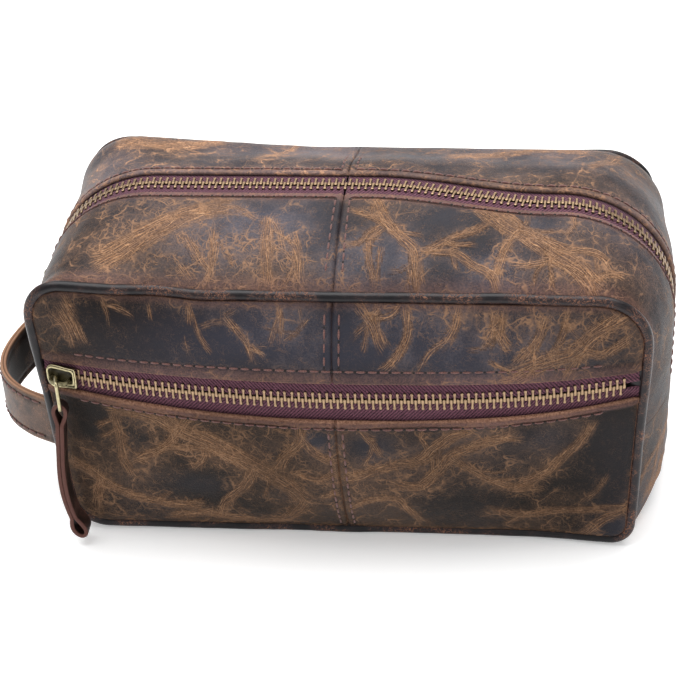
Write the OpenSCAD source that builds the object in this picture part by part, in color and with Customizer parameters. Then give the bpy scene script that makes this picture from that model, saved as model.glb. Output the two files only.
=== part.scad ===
// Leather shaving kit bag: a soft box with a curved main zip over the top,
// a zipped front pocket, piped seams and a strap handle on its left side.
// Millimetres. +Z up, +X to the bag's right, front panel towards -Y.
// The origin is the centre of the base, and the bag rests on z = 0.

/* [Bag] */
// Height of the piped seams above the table
seam_h = 119; // [105:1:135]
// Depth between the front and the back piped seams
bag_d = 116; // [100:1:130]
// Half width of the piped seams near the top
top_half_w = 122.5; // [118:0.5:132]
// Half width of the piped seams at the base
base_half_w = 116; // [108:0.5:122]
// Rise of the top above the seams, halfway back
crown = 17; // [10:1:22]
// How far the right side bellies out halfway back, near the top
right_belly = 11; // [0:0.5:12]
// How far the left side bellies out halfway back, near the top
left_belly = 3.5; // [0:0.5:6]
// Forward bulge of the front panel at the pocket zip
front_bulge = 16; // [12:1:20]
// Backward bulge of the back panel
back_bulge = 8; // [4:1:14]

/* [Leather] */
// Thickness of the shell leather
leather_t = 1.6; // [1.2:0.1:2]
// Thickness of the lining cloth
lining_t = 0.5; // [0.4:0.1:0.8]
// Outside radius of the piping
piping_r = 2.3; // [2:0.1:2.6]
// Depth of the seam allowances inside the bag
allowance = 6; // [5:0.5:7]

/* [Zips] */
// Height of the pocket zip above the table
pocket_zip_z = 81.5; // [80:0.5:86]
// Spacing of the teeth along one side of a chain
tooth_pitch = 2.8; // [2.6:0.1:3.2]
// Half width of the slot over the main zip
top_slot = 7.5; // [7:0.5:9]
// Half width of a zip from its centre line to the outer edge of its tape
tape_w = 15; // [13:0.5:16]

/* [Handle and pulls] */
// Height of the strap handle's leather
strap_w = 22.5; // [18:0.5:26]
// Thickness of each of the two layers of the strap
strap_t = 1.6; // [1.2:0.1:2]
// Length of the leather pull on the pocket slider
pocket_pull_len = 69; // [50:1:69]
// Length of the leather pull on the main slider
top_pull_len = 25; // [20:1:26]

/* [Hidden] */
$fn = 48;

// Colours
leather_brown = [0.27, 0.20, 0.17];
leather_dark = [0.16, 0.13, 0.13];
edge_tan = [0.55, 0.36, 0.24];
cloth_tan = [0.62, 0.55, 0.44];
tape_plum = [0.24, 0.12, 0.17];
brass = [0.58, 0.50, 0.34];
thread_brown = [0.36, 0.18, 0.15];

// Corner radii of the outline: at the piped seams and halfway back. Two of the
// front corners are sharper
top_r = [20, 47];
top_r_front_left = 14;
base_r = [14, 16];
base_r_front_right = 8;
// How far the base bellies out halfway back, and how far the back seam is
// drawn in at the top: left side, then right side
base_belly = [6, 14.5];
// On the right the main zip drifts this far towards the front, between these x
zip_drift = 12.5;
drift_x = [10, 85];
back_narrow = [2.5, 0];
// Height of the seams above the table, and the depth over which the base rises
seam_lift = 3;
lift_depth = 8;
// Half depth to the seam line, and outer depth of the panel's rim
seam_y = bag_d / 2;
rim_y = seam_y + 2.5;
// The panels and the allowances start this far inside the seam line
rim_inset = 2.6;
// Position round the outline where the top strips meet the base gusset
joint_s = 2.53;
joint_gap = 0.002;
seam_gap = 0.15;
panel_top = seam_h - rim_inset;
panel_base = seam_lift + rim_inset;
// Depths of the zip parts below the leather's outer face
tape_top = 1.7;
tape_t = 0.6;
tape_inner = 1.2;
tooth_top = 0.8;
tooth_h = 2.4;
tooth_l = 1.3;
tooth_tip = 0.9;
tooth_root = 3.5;
stitch_pitch = 4.6;
stitch = [3.3, 0.9, 0.55];
seam_stitch_x = 2.85;

// ---------------------------------------------------------------- outline

function side_index(side) = side < 0 ? 0 : 1;
// Value at depth q, from -1 at the front seam to 1 at the back seam
function along_depth(front, middle, back, q) =
    front * (1 - q) / 2 + back * (1 + q) / 2 + (middle - (front + back) / 2) * (1 - q * q);
function rise_of_base(q) =
    let (t = max(0, 1 - (1 - abs(q)) * seam_y / lift_depth)) seam_lift * t * t;

// Half outline at depth q, offset outwards by o:
// [top arc x, z, radius, base arc x, z, radius, lean of the side's normal]
function outline(side, q, o) =
    let (
        k = side_index(side),
        belly = k == 0 ? left_belly : right_belly,
        rt = along_depth(k == 0 ? top_r_front_left : top_r[0], top_r[1], top_r[0], q),
        rb = along_depth(k == 1 ? base_r_front_right : base_r[0], base_r[1], base_r[0], q),
        xt = along_depth(top_half_w, top_half_w + belly, top_half_w - back_narrow[k], q) - rt,
        xb = along_depth(base_half_w, base_half_w + base_belly[k], base_half_w, q) - rb,
        zt = seam_h + crown * (1 - q * q) - rt,
        zb = rise_of_base(q) + rb,
        d = [xt - xb, zt - zb]
    )
    [xt, zt, rt + o, xb, zb, rb + o, atan2(d[1], d[0]) - acos((rb - rt) / norm(d))];

function drift_at(x) =
    let (t = max(0, min(1, (x - drift_x[0]) / (drift_x[1] - drift_x[0])))) zip_drift * t * t * (3 - 2 * t);

// Point on the shell. s runs 0 at the base's middle, 1 to 2 round the base
// corner, 2 to 3 up the side, 3 to 4 round the top corner, 5 at the top's middle
function shell(side, q, o, s) =
    let (
        f = outline(side, q, o),
        lean = f[6],
        n = [cos(lean), sin(lean)],
        low = [f[3], f[4]] + f[5] * n,
        high = [f[0], f[1]] + f[2] * n,
        base_a = -90 + (lean + 90) * (s - 1),
        top_a = lean + (90 - lean) * (s - 3),
        rise = max(0, min(1, s - 1.5)),
        p = s < 1 ? [f[3] * s, f[4] - f[5]]
            : s < 2 ? [f[3], f[4]] + f[5] * [cos(base_a), sin(base_a)]
            : s < 3 ? low * (3 - s) + high * (s - 2)
            : s < 4 ? [f[0], f[1]] + f[2] * [cos(top_a), sin(top_a)]
            : [f[0] * (5 - s), f[1] + f[2]]
    )
    [side * p[0], q * seam_y - rise * drift_at(side * p[0]) * pow(1 - q * q, 2), p[1]];
function shell_signed(q, o, s) = shell(s < 0 ? -1 : 1, q, o, abs(s));

// Half width of the outline at height z
function half_width(side, q, o, z) =
    let (
        f = outline(side, q, o),
        n = [cos(f[6]), sin(f[6])],
        low = [f[3], f[4]] + f[5] * n,
        high = [f[0], f[1]] + f[2] * n,
        t = (z - low[1]) / (high[1] - low[1])
    )
    z >= high[1] ? f[0] + sqrt(max(0, f[2] * f[2] - pow(z - f[1], 2)))
        : z <= low[1] ? f[3] + sqrt(max(0, f[5] * f[5] - pow(z - f[4], 2)))
        : low[0] * (1 - t) + high[0] * t;

// ---------------------------------------------------------------- panels

function arc_radius(half, bulge) = (half * half + bulge * bulge) / (2 * bulge);
zip_half = half_width(1, -1, -rim_inset, pocket_zip_z);
zip_r = arc_radius(zip_half, front_bulge);
zip_axis_y = -(rim_y + front_bulge) + zip_r;

// Share of the bulge at a height: 0 at the seams, 1 at the pocket zip
function fullness(z) =
    z > pocket_zip_z ? 1 - pow((z - pocket_zip_z) / (panel_top - pocket_zip_z), 2)
        : 1 - pow((pocket_zip_z - z) / (pocket_zip_z - panel_base), 3);
// Share of the bulge across the width: a circular arc
function across(xi, half, bulge) =
    let (r = arc_radius(half, bulge)) (sqrt(r * r - pow(xi * half, 2)) - (r - bulge)) / bulge;

// Outer face of the front (face = -1) or back (face = 1) panel, pushed in by depth
function panel_point(face, x, z, depth = 0) =
    let (
        side = x < 0 ? -1 : 1,
        bulge = face < 0 ? front_bulge : back_bulge,
        half = max(1, half_width(side, face, -rim_inset, z)),
        xi = min(1, abs(x) / half)
    )
    [x, face * (rim_y + bulge * across(xi, zip_half, bulge) * max(0, fullness(z)) - depth), z];

// Edges of the leather over and under the pocket zip: they sag to the middle
function slot_edge(up, xi) =
    pocket_zip_z + (up ? 6.7 + 2.1 * (1 - xi * xi) : -6.7 - 3.6 * (1 - xi * xi));

// ---------------------------------------------------------------- solids

// Closed skin between two grids of points. ring closes the rows into a loop
module skin(outer, inner, flip, ring = false) {
    n = len(outer);
    m = len(outer[0]);
    k = n * m;
    quads = concat(
        [for (i = [0 : (ring ? n - 1 : n - 2)], j = [0 : m - 2]) let (
            a = i * m + j, d = ((i + 1) % n) * m + j)
            each [[a, a + 1, d + 1, d], [a + k, d + k, d + 1 + k, a + 1 + k]]],
        [for (i = [0 : (ring ? n - 1 : n - 2)]) let (a = i * m, d = ((i + 1) % n) * m)
            each [[a, d, d + k, a + k], [d + m - 1, a + m - 1, a + m - 1 + k, d + m - 1 + k]]],
        ring ? [] : [for (j = [0 : m - 2]) let (a = j, d = (n - 1) * m + j)
            each [[a + 1, a, a + k, a + 1 + k], [d, d + 1, d + 1 + k, d + k]]]
    );
    faces = [for (f = quads) each flip
        ? [[f[2], f[1], f[0]], [f[3], f[2], f[0]]]
        : [[f[0], f[1], f[2]], [f[0], f[2], f[3]]]];
    polyhedron(points = [for (row = outer) each row, for (row = inner) each row],
        faces = faces, convexity = 6);
}

// Strip of the gusset: rows at positions s, columns at [depth, offset] pairs
module gusset_strip(rows, outer, inner, ring = false) {
    skin([for (s = rows) [for (c = outer) shell_signed(c[0] / seam_y, c[1], s)]],
        [for (s = rows) [for (c = inner) shell_signed(c[0] / seam_y, c[1], s)]],
        true, ring);
}

// Profile of a gusset edge that dips beside the piping and turns inwards
dip = [[26, 0], [36, 0], [44, 0], [50, -0.2], [53.5, -0.8], [55.8, -1.8],
    [seam_y - 0.9, -3.2], [seam_y - 0.9, -allowance]];
dip_inner = [[26, -leather_t], [36, -leather_t], [44, -leather_t], [49.7, -leather_t - 0.2],
    [52.8, -leather_t - 0.7], [54.6, -leather_t - 1.5], [seam_y - 2.5, -leather_t - 2.6],
    [seam_y - 2.5, -allowance]];
function with_depth(face, profile) = [for (c = profile) [face * c[0], c[1]]];
function reversed(v) = [for (i = [len(v) - 1 : -1 : 0]) v[i]];
function steps(a, b, n) = [for (i = [0 : n]) a + (b - a) * i / n];
flat_rows = [4.17, 4.33, 4.5, 4.67, 4.83, 5 - 0.001];

module top_strip(side, face) {
    half = concat([joint_s + joint_gap, 2.77], steps(3, 4, 8), flat_rows);
    rows = side > 0 ? half : [for (s = reversed(half)) -s];
    lip = [[top_slot, 0], [16, 0]];
    lip_inner = [[top_slot, -leather_t], [16, -leather_t]];
    outer = with_depth(face, concat(lip, dip));
    inner = with_depth(face, concat(lip_inner, dip_inner));
    gusset_strip(rows, face > 0 ? outer : reversed(outer), face > 0 ? inner : reversed(inner));
}

module base_gusset() {
    half = concat([0, 0.5], steps(1, 2, 5), [joint_s - joint_gap]);
    rows = concat([for (i = [len(half) - 1 : -1 : 1]) -half[i]], half);
    outer = concat(reversed(with_depth(-1, dip)), [[-12, 0], [12, 0]], dip);
    inner = concat(reversed(with_depth(-1, dip_inner)),
        [[-12, -leather_t], [12, -leather_t]], dip_inner);
    color(leather_brown) gusset_strip(rows, outer, inner);
}

// Half panel from column to column of x, row to row of z
module panel_patch(face, side, low, high, columns, rows) {
    function z_at(u, v) = low(u) + (high(u) - low(u)) * v;
    function x_at(u, z) = side * (seam_gap + (half_width(side, face, -rim_inset, z) - seam_gap) * u);
    us = side > 0 ? columns : reversed(columns);
    outer = [for (u = us) [for (v = rows) let (z = z_at(u, v)) panel_point(face, x_at(u, z), z)]];
    inner = [for (u = us) [for (v = rows) let (z = z_at(u, v))
        panel_point(face, x_at(u, z), z, leather_t)]];
    skin(outer, inner, face > 0);
}
panel_columns = concat(steps(0, 0.8, 8), [0.87, 0.93, 0.97, 1]);
// Rows crowd towards a rounded end
function eased(n) = [for (i = [0 : n]) 1 - pow(1 - i / n, 2)];

module front_upper(side) {
    color(leather_brown) panel_patch(-1, side, function (u) slot_edge(true, u),
        function (u) panel_top, panel_columns, eased(8));
}
module front_lower(side) {
    color(leather_brown) panel_patch(-1, side, function (u) panel_base,
        function (u) slot_edge(false, u), panel_columns, reversed([for (t = eased(10)) 1 - t]));
}
module back_half(side) {
    color(leather_brown) panel_patch(1, side, function (u) panel_base, function (u) panel_top,
        panel_columns, [for (a = [0 : 15 : 180]) (1 - cos(a)) / 2]);
}

// ---------------------------------------------------------------- piping

all_round = concat(
    [for (s = reversed(concat([1], steps(1.2, 2, 4), [2.5], steps(3, 4, 6)))) -s],
    [0.001], concat([1], steps(1.2, 2, 4), [2.5], steps(3, 4, 6)));
// Ring profile in [outward depth, offset] about the seam line
function round_profile(r, gap) =
    [for (a = [-90 + gap : (360 - 2 * gap) / 12 : 270.01 - gap]) [r * cos(a), 0.3 + r * sin(a)]];

module seam_ring(face, outer, inner) {
    function at(c, s) = shell_signed(face, c[1], s) + [0, face * c[0], 0];
    skin([for (s = all_round) [for (c = outer) at(c, s)]],
        [for (s = all_round) [for (c = inner) at(c, s)]], face > 0, true);
}
module piping(face) {
    cord_r = piping_r - 0.9;
    outer = concat([[0.7, -allowance], [0.7, -2.3]], round_profile(piping_r, 20),
        [[-0.7, -2.3], [-0.7, -allowance]]);
    inner = concat([[0.06, -allowance], [0.06, -1.6]], round_profile(cord_r, 8),
        [[-0.06, -1.6], [-0.06, -allowance]]);
    color(leather_dark) seam_ring(face, outer, inner);
}
module piping_cord(face) {
    r = piping_r - 1;
    color(cloth_tan) skin(
        [for (s = all_round) [for (a = [0 : 45 : 180])
            shell_signed(face, 0.3 + r * sin(a), s) + [0, face * r * cos(a), 0]]],
        [for (s = all_round) [for (a = [0 : 45 : 180])
            shell_signed(face, 0.3 - r * sin(a) * 0.98 - 0.02, s) + [0, face * r * cos(a), 0]]],
        face > 0, true);
}

// ---------------------------------------------------------------- lining

lining_o = -leather_t - 1;
lining_y = seam_y - 5.2;
module lining_sheet(face, y, inset) {
    edge = [for (s = all_round) let (p = shell_signed(face, -inset, s)) [p[0], p[2]]];
    color(cloth_tan) translate([0, y, 0]) rotate([90, 0, 0])
        linear_extrude(lining_t, center = true) polygon(edge);
}
module lining_strip(rows, depths) {
    color(cloth_tan) gusset_strip(rows, [for (d = depths) [d, lining_o]],
        [for (d = depths) [d, lining_o - lining_t]]);
}
lining_depths = steps(9, lining_y - 1.2, 3);
over_top = concat([joint_s + joint_gap, 2.77], steps(3, 4, 6), flat_rows,
    [for (s = reversed(steps(3, 4, 6))) -s], [-2.77, -joint_s - joint_gap]);
module lining_top(face) {
    depths = face > 0 ? lining_depths : [for (d = reversed(lining_depths)) -d];
    lining_strip(over_top, depths);
}
module lining_base() {
    half = concat([0.001], steps(1, 2, 4), [joint_s - joint_gap]);
    rows = concat([for (s = reversed(half)) -s], half);
    lining_strip(rows, steps(-lining_y + 1.2, lining_y - 1.2, 6));
}

// ---------------------------------------------------------------- zips

// Middle line of the main zip, measured from the top's middle down one side:
// [x, z, angle of the outward normal above horizontal]
function top_line(side, l) =
    let (
        f = outline(side, 0, 0),
        turn = (l - f[0]) / f[2] * 180 / PI,
        a = max(f[6], 90 - turn),
        arc_l = f[2] * (90 - f[6]) * PI / 180,
        down = max(0, l - f[0] - arc_l)
    )
    l < f[0] ? [side * l, f[1] + f[2], 90]
        : [side * (f[0] + f[2] * cos(a) + down * sin(f[6])),
            f[1] + f[2] * sin(a) - down * cos(f[6]), a];
function top_line_length(side, s) =
    let (f = outline(side, 0, 0), low = shell(side, 0, 0, s), high = shell(side, 0, 0, 3))
    f[0] + f[2] * (90 - f[6]) * PI / 180 + norm(high - low);

// Places children on the main zip: X along the chain, Z outwards
module on_top_zip(side, l) {
    p = top_line(side, l);
    yaw = atan(drift_at(p[0] + 0.5) - drift_at(p[0] - 0.5));
    translate([p[0], -drift_at(p[0]), p[1]]) rotate([0, side * (90 - p[2]), 0])
        rotate([0, 0, -yaw]) children();
}
// Places children on the pocket zip: X along the chain, Y up, Z outwards
module on_pocket_zip(angle) {
    translate([0, zip_axis_y, pocket_zip_z]) rotate([0, 0, angle])
        translate([0, -zip_r, 0]) rotate([90, 0, 0]) children();
}

// One tooth: its head crosses the middle line, its legs grip the tape
module tooth(face) {
    translate([-tooth_l / 2, face > 0 ? -tooth_tip : -tooth_root, -tooth_top - tooth_h])
        cube([tooth_l, tooth_tip + tooth_root, tooth_h]);
}

main_slider_l = top_line_length(-1, 3) - 1;
chain_right_l = top_line_length(1, joint_s) - 4;
module top_teeth(face) {
    first = face > 0 ? 0.5 : 0;
    color(brass) {
        for (k = [0 : floor((main_slider_l - 0.6) / tooth_pitch - first)])
            on_top_zip(-1, (k + first) * tooth_pitch) tooth(face);
        for (k = [1 : floor(chain_right_l / tooth_pitch)])
            on_top_zip(1, (k - first) * tooth_pitch) tooth(face);
    }
}
module top_tape(face) {
    rows = concat([joint_s + joint_gap, 2.77], steps(3, 4, 8), flat_rows,
        [for (s = reversed(steps(3, 4, 8))) -s], [-2.77, -joint_s - joint_gap]);
    depths = face > 0 ? [tape_inner, 8, tape_w] : [-tape_w, -8, -tape_inner];
    color(tape_plum) gusset_strip(rows, [for (d = depths) [d, -tape_top]],
        [for (d = depths) [d, -tape_top - tape_t]]);
}

pocket_slider_x = -111.8;
pocket_start = asin(pocket_slider_x / zip_r);
pocket_chain_end = asin(114 / zip_r);
module pocket_teeth(face) {
    step = tooth_pitch / zip_r * 180 / PI;
    first = pocket_start + (face > 0 ? 0.5 : 1) * step;
    color(brass) for (k = [0 : floor((pocket_chain_end - first) / step)])
        on_pocket_zip(first + k * step) tooth(face);
}
module pocket_tape(face) {
    zs = face > 0 ? [tape_inner, 7, tape_w] : [-tape_w, -7, -tape_inner];
    ends = [for (t = steps(-1, 1, 20)) t * (zip_half - 1.4)];
    function at(x, z, depth) = panel_point(-1, x, pocket_zip_z + z, depth);
    color(tape_plum) skin([for (x = ends) [for (z = zs) at(x, z, tape_top)]],
        [for (x = ends) [for (z = zs) at(x, z, tape_top + tape_t)]], false);
}

// ---------------------------------------------------------------- sliders

// Slider on a chain: X along it with the narrow tail at +X, Z outwards.
// The wide mouth holds the neck that joins the two plates
slider_outline = [[-6.4, -3.6], [-5.2, -5], [-2, -5.1], [1.5, -4.6], [6.4, -4.4],
    [6.4, 4.4], [1.5, 4.6], [-2, 5.1], [-5.2, 5], [-6.4, 3.6]];
plate_base = -0.3;
plate_top = 1.3;
inner_plate_top = -3.9;
module slider() {
    color(brass) {
        translate([0, 0, plate_base]) linear_extrude(plate_top - plate_base)
            polygon(slider_outline);
        for (face = [-1, 1])
            translate([-4.5, face > 0 ? 3.9 : -4.4, -1.4]) cube([10.5, 0.5, 1.4]);
        translate([-2.4, -4.2, inner_plate_top - 1]) cube([8.4, 8.4, 1]);
        translate([-2.4, -0.9, inner_plate_top - 0.5])
            cube([2, 1.8, plate_base - inner_plate_top + 1]);
    }
}
bar_low = 4.4;
bar_t = 1;
bridge_half = 4.5;
post_l = 1.2;
module slider_bridge() {
    color(brass) difference() {
        translate([-bridge_half, -0.9, plate_top])
            cube([2 * bridge_half, 1.8, bar_low + bar_t - plate_top]);
        translate([-bridge_half + post_l, -1, plate_top - 1])
            cube([2 * (bridge_half - post_l), 2, bar_low - plate_top + 1]);
    }
}

// Wire ring: half width, length and corner radius to the wire's centre line
ring_half = 3.3;
ring_l = 13.3;
ring_corner = 1.5;
wire_r = 0.75;
// Rectangular ring in the YZ plane: the middle of its top bar is the origin
module pull_ring() {
    bar = ring_half - ring_corner;
    color(brass) {
        for (k = [0 : 3])
            translate([0, k < 2 ? bar : -bar, k == 1 || k == 2 ? -ring_corner : ring_corner - ring_l])
                rotate([0, 90, 0]) rotate([0, 0, 90 * k]) rotate_extrude(angle = 90)
                    translate([ring_corner, 0]) circle(wire_r, $fn = 24);
        for (z = [0, -ring_l]) translate([0, -bar, z])
            rotate([-90, 0, 0]) cylinder(h = 2 * bar, r = wire_r, $fn = 24);
        for (face = [-1, 1]) translate([0, face * ring_half, ring_corner - ring_l])
            cylinder(h = ring_l - 2 * ring_corner, r = wire_r, $fn = 24);
    }
}

// Folded leather pull in the XZ plane, hanging from a wire at the origin.
// sway is how far the foot of the pull curls towards +X. Its neck is cut
// narrower, down to neck_z, to pass through the ring
pull_t = 1.7;
eye_l = 8.5;
eye_w = 1.75;
neck_w = 4.5;
neck_z = [-3.5, -9];
module leather_pull(length, width, sway) {
    run = length - 2 * pull_t;
    function middle(t) = sway * pow(t / run, 3);
    function eye(from, way) = [for (k = [0 : 24]) let (
        a = k * 15, t = (1 - cos(a)) / 2, w = eye_w * sin(180 * pow(t, 0.62)),
        d = from + way * eye_l * t)
        [middle(d) + (a <= 180 ? w : -w), wire_r + 0.25 - d]];
    function strap(from, to) = concat(
        [for (t = steps(from, to, 10)) [middle(t) - pull_t, wire_r + 0.25 - t]],
        [for (t = steps(to, from, 10)) [middle(t) + pull_t, wire_r + 0.25 - t]]);
    top = wire_r + 2 * pull_t;
    half_outline = [[neck_w / 2, top], [neck_w / 2, neck_z[0]], [width / 2, neck_z[1]],
        [width / 2, -length]];
    color(leather_brown) intersection() {
        translate([0, width / 2, 0]) rotate([90, 0, 0])
            linear_extrude(width) difference() {
                union() {
                    offset(r = pull_t, $fn = 16) polygon(eye(0, 1));
                    offset(r = pull_t, $fn = 16) polygon(eye(run, -1));
                    polygon(strap(eye_l * 0.8, run - eye_l * 0.8));
                }
                polygon(eye(0, 1));
                polygon(eye(run, -1));
            }
        rotate([90, 0, 90]) linear_extrude(4 * pull_t + 2 * sway + 2 * eye_w, center = true)
            polygon(concat(half_outline, [for (c = reversed(half_outline)) [-c[0], c[1]]]));
    }
}

pull_w = 7.5;
module at_pocket_slider() { on_pocket_zip(pocket_start) children(); }
bar_z = bar_low + bar_t / 2;
pocket_bar = [zip_r * sin(pocket_start) + bar_z * sin(pocket_start),
    zip_axis_y - (zip_r + bar_z) * cos(pocket_start), pocket_zip_z];
module pocket_slider() { at_pocket_slider() slider(); }
module pocket_slider_bridge() { at_pocket_slider() slider_bridge(); }
// The ring's top bar and back leg run this far from the middle of the bar
bar_play = 2.25;
pocket_ring_top = pocket_bar + [0, bar_play - ring_half, bar_play];
module pocket_pull_ring() { translate(pocket_ring_top) pull_ring(); }
module pocket_leather_pull() {
    translate(pocket_ring_top - [0, 0, ring_l]) leather_pull(pocket_pull_len, pull_w, 2);
}

// The main slider's ring passes under its bridge and hangs straight down
module at_top_slider() { on_top_zip(-1, main_slider_l) children(); }
top_wire_x = -bridge_half + post_l + wire_r + 0.2;
top_wire_z = bar_low - wire_r - 0.9;
main_slider = top_line(-1, main_slider_l);
top_wire = [main_slider[0], 0, main_slider[1]]
    + top_wire_x * [sin(main_slider[2]), 0, cos(main_slider[2])]
    + top_wire_z * [-cos(main_slider[2]), 0, sin(main_slider[2])];
module top_slider() { at_top_slider() slider(); }
module top_slider_bridge() { at_top_slider() slider_bridge(); }
module top_pull_ring() { translate(top_wire) pull_ring(); }
module top_leather_pull() {
    translate(top_wire - [0, 0, ring_l]) leather_pull(top_pull_len, pull_w, 0);
}

// ---------------------------------------------------------------- handle

// Plan of the strap: a curve from the front seam round to the back seam
strap_z = 52;
strap_rise = -1.5;
strap_front = [-117.2, -55];
strap_swing_front = [-167, -37];
strap_swing_back = [-147, -1];
strap_back = [-117.2, 55.5];
function strap_at(t) =
    pow(1 - t, 3) * strap_front + 3 * t * pow(1 - t, 2) * strap_swing_front
    + 3 * t * t * (1 - t) * strap_swing_back + pow(t, 3) * strap_back;
function strap_normal(t) =
    let (d = strap_at(t + 0.01) - strap_at(t - 0.01)) [-d[1], d[0]] / norm(d);
strap_ts = steps(0, 1, 20);
module strap_layer(o_out, o_in) {
    function at(t, o, z) =
        let (p = strap_at(t) + o * strap_normal(t)) [p[0], p[1], z + strap_rise * t];
    zs = [strap_z - strap_w / 2, strap_z + strap_w / 2];
    skin([for (t = strap_ts) [for (z = zs) at(t, o_out, z)]],
        [for (t = strap_ts) [for (z = zs) at(t, o_in, z)]], false);
}
module handle_outer() { color(leather_brown) strap_layer(strap_t, 0.05); }
module handle_inner() { color(leather_dark) strap_layer(-0.05, -strap_t); }

// ---------------------------------------------------------------- stitching

module thread() { translate([0, 0, stitch[2] / 2 + 0.02]) cube(stitch, center = true); }

// Places children on a surface point: X along u, Z along the normal n
module on_surface(p, u, n) {
    x = u / norm(u);
    z = n / norm(n);
    y = cross(z, x);
    multmatrix([[x[0], y[0], z[0], p[0]], [x[1], y[1], z[1], p[1]], [x[2], y[2], z[2], p[2]]])
        children();
}
module thread_on_panel(face, x, z, upright) {
    p = panel_point(face, x, z);
    du = panel_point(face, x + 0.5, z) - p;
    dv = panel_point(face, x, z + 0.5) - p;
    on_surface(p, upright ? dv : du, -face * cross(du, dv)) thread();
}
module thread_on_gusset(side, y, s, lengthwise) {
    p = shell(side, y / seam_y, 0, s);
    du = shell(side, y / seam_y, 0, s + 0.002) - p;
    dv = shell(side, (y + 0.4) / seam_y, 0, s) - p;
    on_surface(p, lengthwise ? du : dv, side * cross(dv, du)) thread();
}

pocket_row_up = 4.4;
pocket_row_down = 3;
module pocket_stitching() {
    n = floor((zip_half - 12) / stitch_pitch);
    color(thread_brown) for (k = [-n : n], up = [true, false]) {
        x = k * stitch_pitch;
        xi = abs(x) / zip_half;
        thread_on_panel(-1, x, slot_edge(up, xi) + (up ? pocket_row_up : -pocket_row_down), false);
    }
}
module centre_seam_stitching() {
    color(thread_brown) for (side = [-1, 1]) {
        for (z = [slot_edge(true, 0) + 8 : stitch_pitch : panel_top - 3])
            thread_on_panel(-1, side * seam_stitch_x, z, true);
        for (z = [panel_base + 3 : stitch_pitch : slot_edge(false, 0) - 6])
            thread_on_panel(-1, side * seam_stitch_x, z, true);
        for (z = [panel_base + 3 : stitch_pitch : panel_top - 3])
            thread_on_panel(1, side * seam_stitch_x, z, true);
        for (face = [-1, 1], d = [top_slot + 7 : stitch_pitch : 49])
            thread_on_gusset(side, face * d, 5 - seam_stitch_x / outline(side, 0, 0)[0], false);
    }
}
zip_row = top_slot + 3;
module top_zip_stitching() {
    color(thread_brown) for (side = [-1, 1], face = [-1, 1]) {
        for (k = [0 : 15]) thread_on_gusset(side, face * zip_row, 4.97 - k * 0.058, true);
        for (k = [0 : 15]) thread_on_gusset(side, face * zip_row, 3.97 - k * 0.06, true);
        for (k = [0 : 4]) thread_on_gusset(side, face * zip_row, 2.96 - k * 0.08, true);
    }
}
module handle_stitching() {
    color(thread_brown) for (t = steps(0.07, 0.93, 24), end = [-1, 1]) {
        p = strap_at(t) + (strap_t + 0.02) * strap_normal(t);
        d = strap_at(t + 0.01) - strap_at(t - 0.01);
        n = strap_normal(t);
        on_surface([p[0], p[1], strap_z + strap_rise * t + end * (strap_w / 2 - 2.6)],
            [d[0], d[1], 0], [n[0], n[1], 0]) thread();
    }
}

// ---------------------------------------------------------------- parts

front_upper(-1);  // front_upper_left
front_upper(1);  // front_upper_right
front_lower(-1);  // front_lower_left
front_lower(1);  // front_lower_right
back_half(-1);  // back_left
back_half(1);  // back_right
color(leather_brown) top_strip(-1, -1);  // top_front_left
color(leather_brown) top_strip(1, -1);  // top_front_right
color(leather_brown) top_strip(-1, 1);  // top_back_left
color(leather_brown) top_strip(1, 1);  // top_back_right
base_gusset();
piping(-1);  // front_piping
piping_cord(-1);  // front_piping_cord
piping(1);  // back_piping
piping_cord(1);  // back_piping_cord
lining_sheet(-1, -lining_y + 1.2, allowance + 1);  // lining_front
lining_sheet(1, lining_y, allowance + 1);  // lining_back
lining_base();
lining_top(-1);  // lining_top_front
lining_top(1);  // lining_top_back
lining_sheet(-1, -lining_y - 1.2, allowance + 1);  // pocket_lining
top_tape(-1);  // top_zip_tape_front
top_tape(1);  // top_zip_tape_back
top_teeth(-1);  // top_zip_teeth_front
top_teeth(1);  // top_zip_teeth_back
pocket_tape(1);  // pocket_zip_tape_upper
pocket_tape(-1);  // pocket_zip_tape_lower
pocket_teeth(1);  // pocket_zip_teeth_upper
pocket_teeth(-1);  // pocket_zip_teeth_lower
handle_outer();
handle_inner();
handle_stitching();
pocket_stitching();
top_zip_stitching();
centre_seam_stitching();
top_slider();
top_slider_bridge();
top_pull_ring();
top_leather_pull();
pocket_slider();
pocket_slider_bridge();
pocket_pull_ring();
pocket_leather_pull();
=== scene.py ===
"""Looks of a leather shaving kit bag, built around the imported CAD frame.

Shapes are worked out in millimetres on the bag's own surface and made in metres.
The same outline as the CAD part gives every leather piece its place; each piece
is a dense slab with folds, rolled edges and stitches pressed into it.
"""

import math

import bpy
import numpy as np
from mathutils import Matrix, Vector


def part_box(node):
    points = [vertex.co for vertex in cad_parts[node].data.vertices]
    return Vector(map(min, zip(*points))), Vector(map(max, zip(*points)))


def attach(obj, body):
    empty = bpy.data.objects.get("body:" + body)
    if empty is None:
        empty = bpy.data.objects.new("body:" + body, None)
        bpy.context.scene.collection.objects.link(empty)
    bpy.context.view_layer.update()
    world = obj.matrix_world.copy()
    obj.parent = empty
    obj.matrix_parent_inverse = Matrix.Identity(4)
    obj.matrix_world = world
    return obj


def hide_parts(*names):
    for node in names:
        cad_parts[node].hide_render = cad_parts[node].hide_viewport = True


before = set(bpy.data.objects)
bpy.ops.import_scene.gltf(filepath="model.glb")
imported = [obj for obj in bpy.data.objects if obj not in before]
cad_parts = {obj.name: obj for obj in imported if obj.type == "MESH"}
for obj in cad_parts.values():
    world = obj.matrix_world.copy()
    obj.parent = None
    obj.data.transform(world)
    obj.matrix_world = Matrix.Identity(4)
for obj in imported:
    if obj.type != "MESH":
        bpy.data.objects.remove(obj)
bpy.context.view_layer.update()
MM = 0.001

# ---------------------------------------------------------------- dimensions, mm

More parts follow.
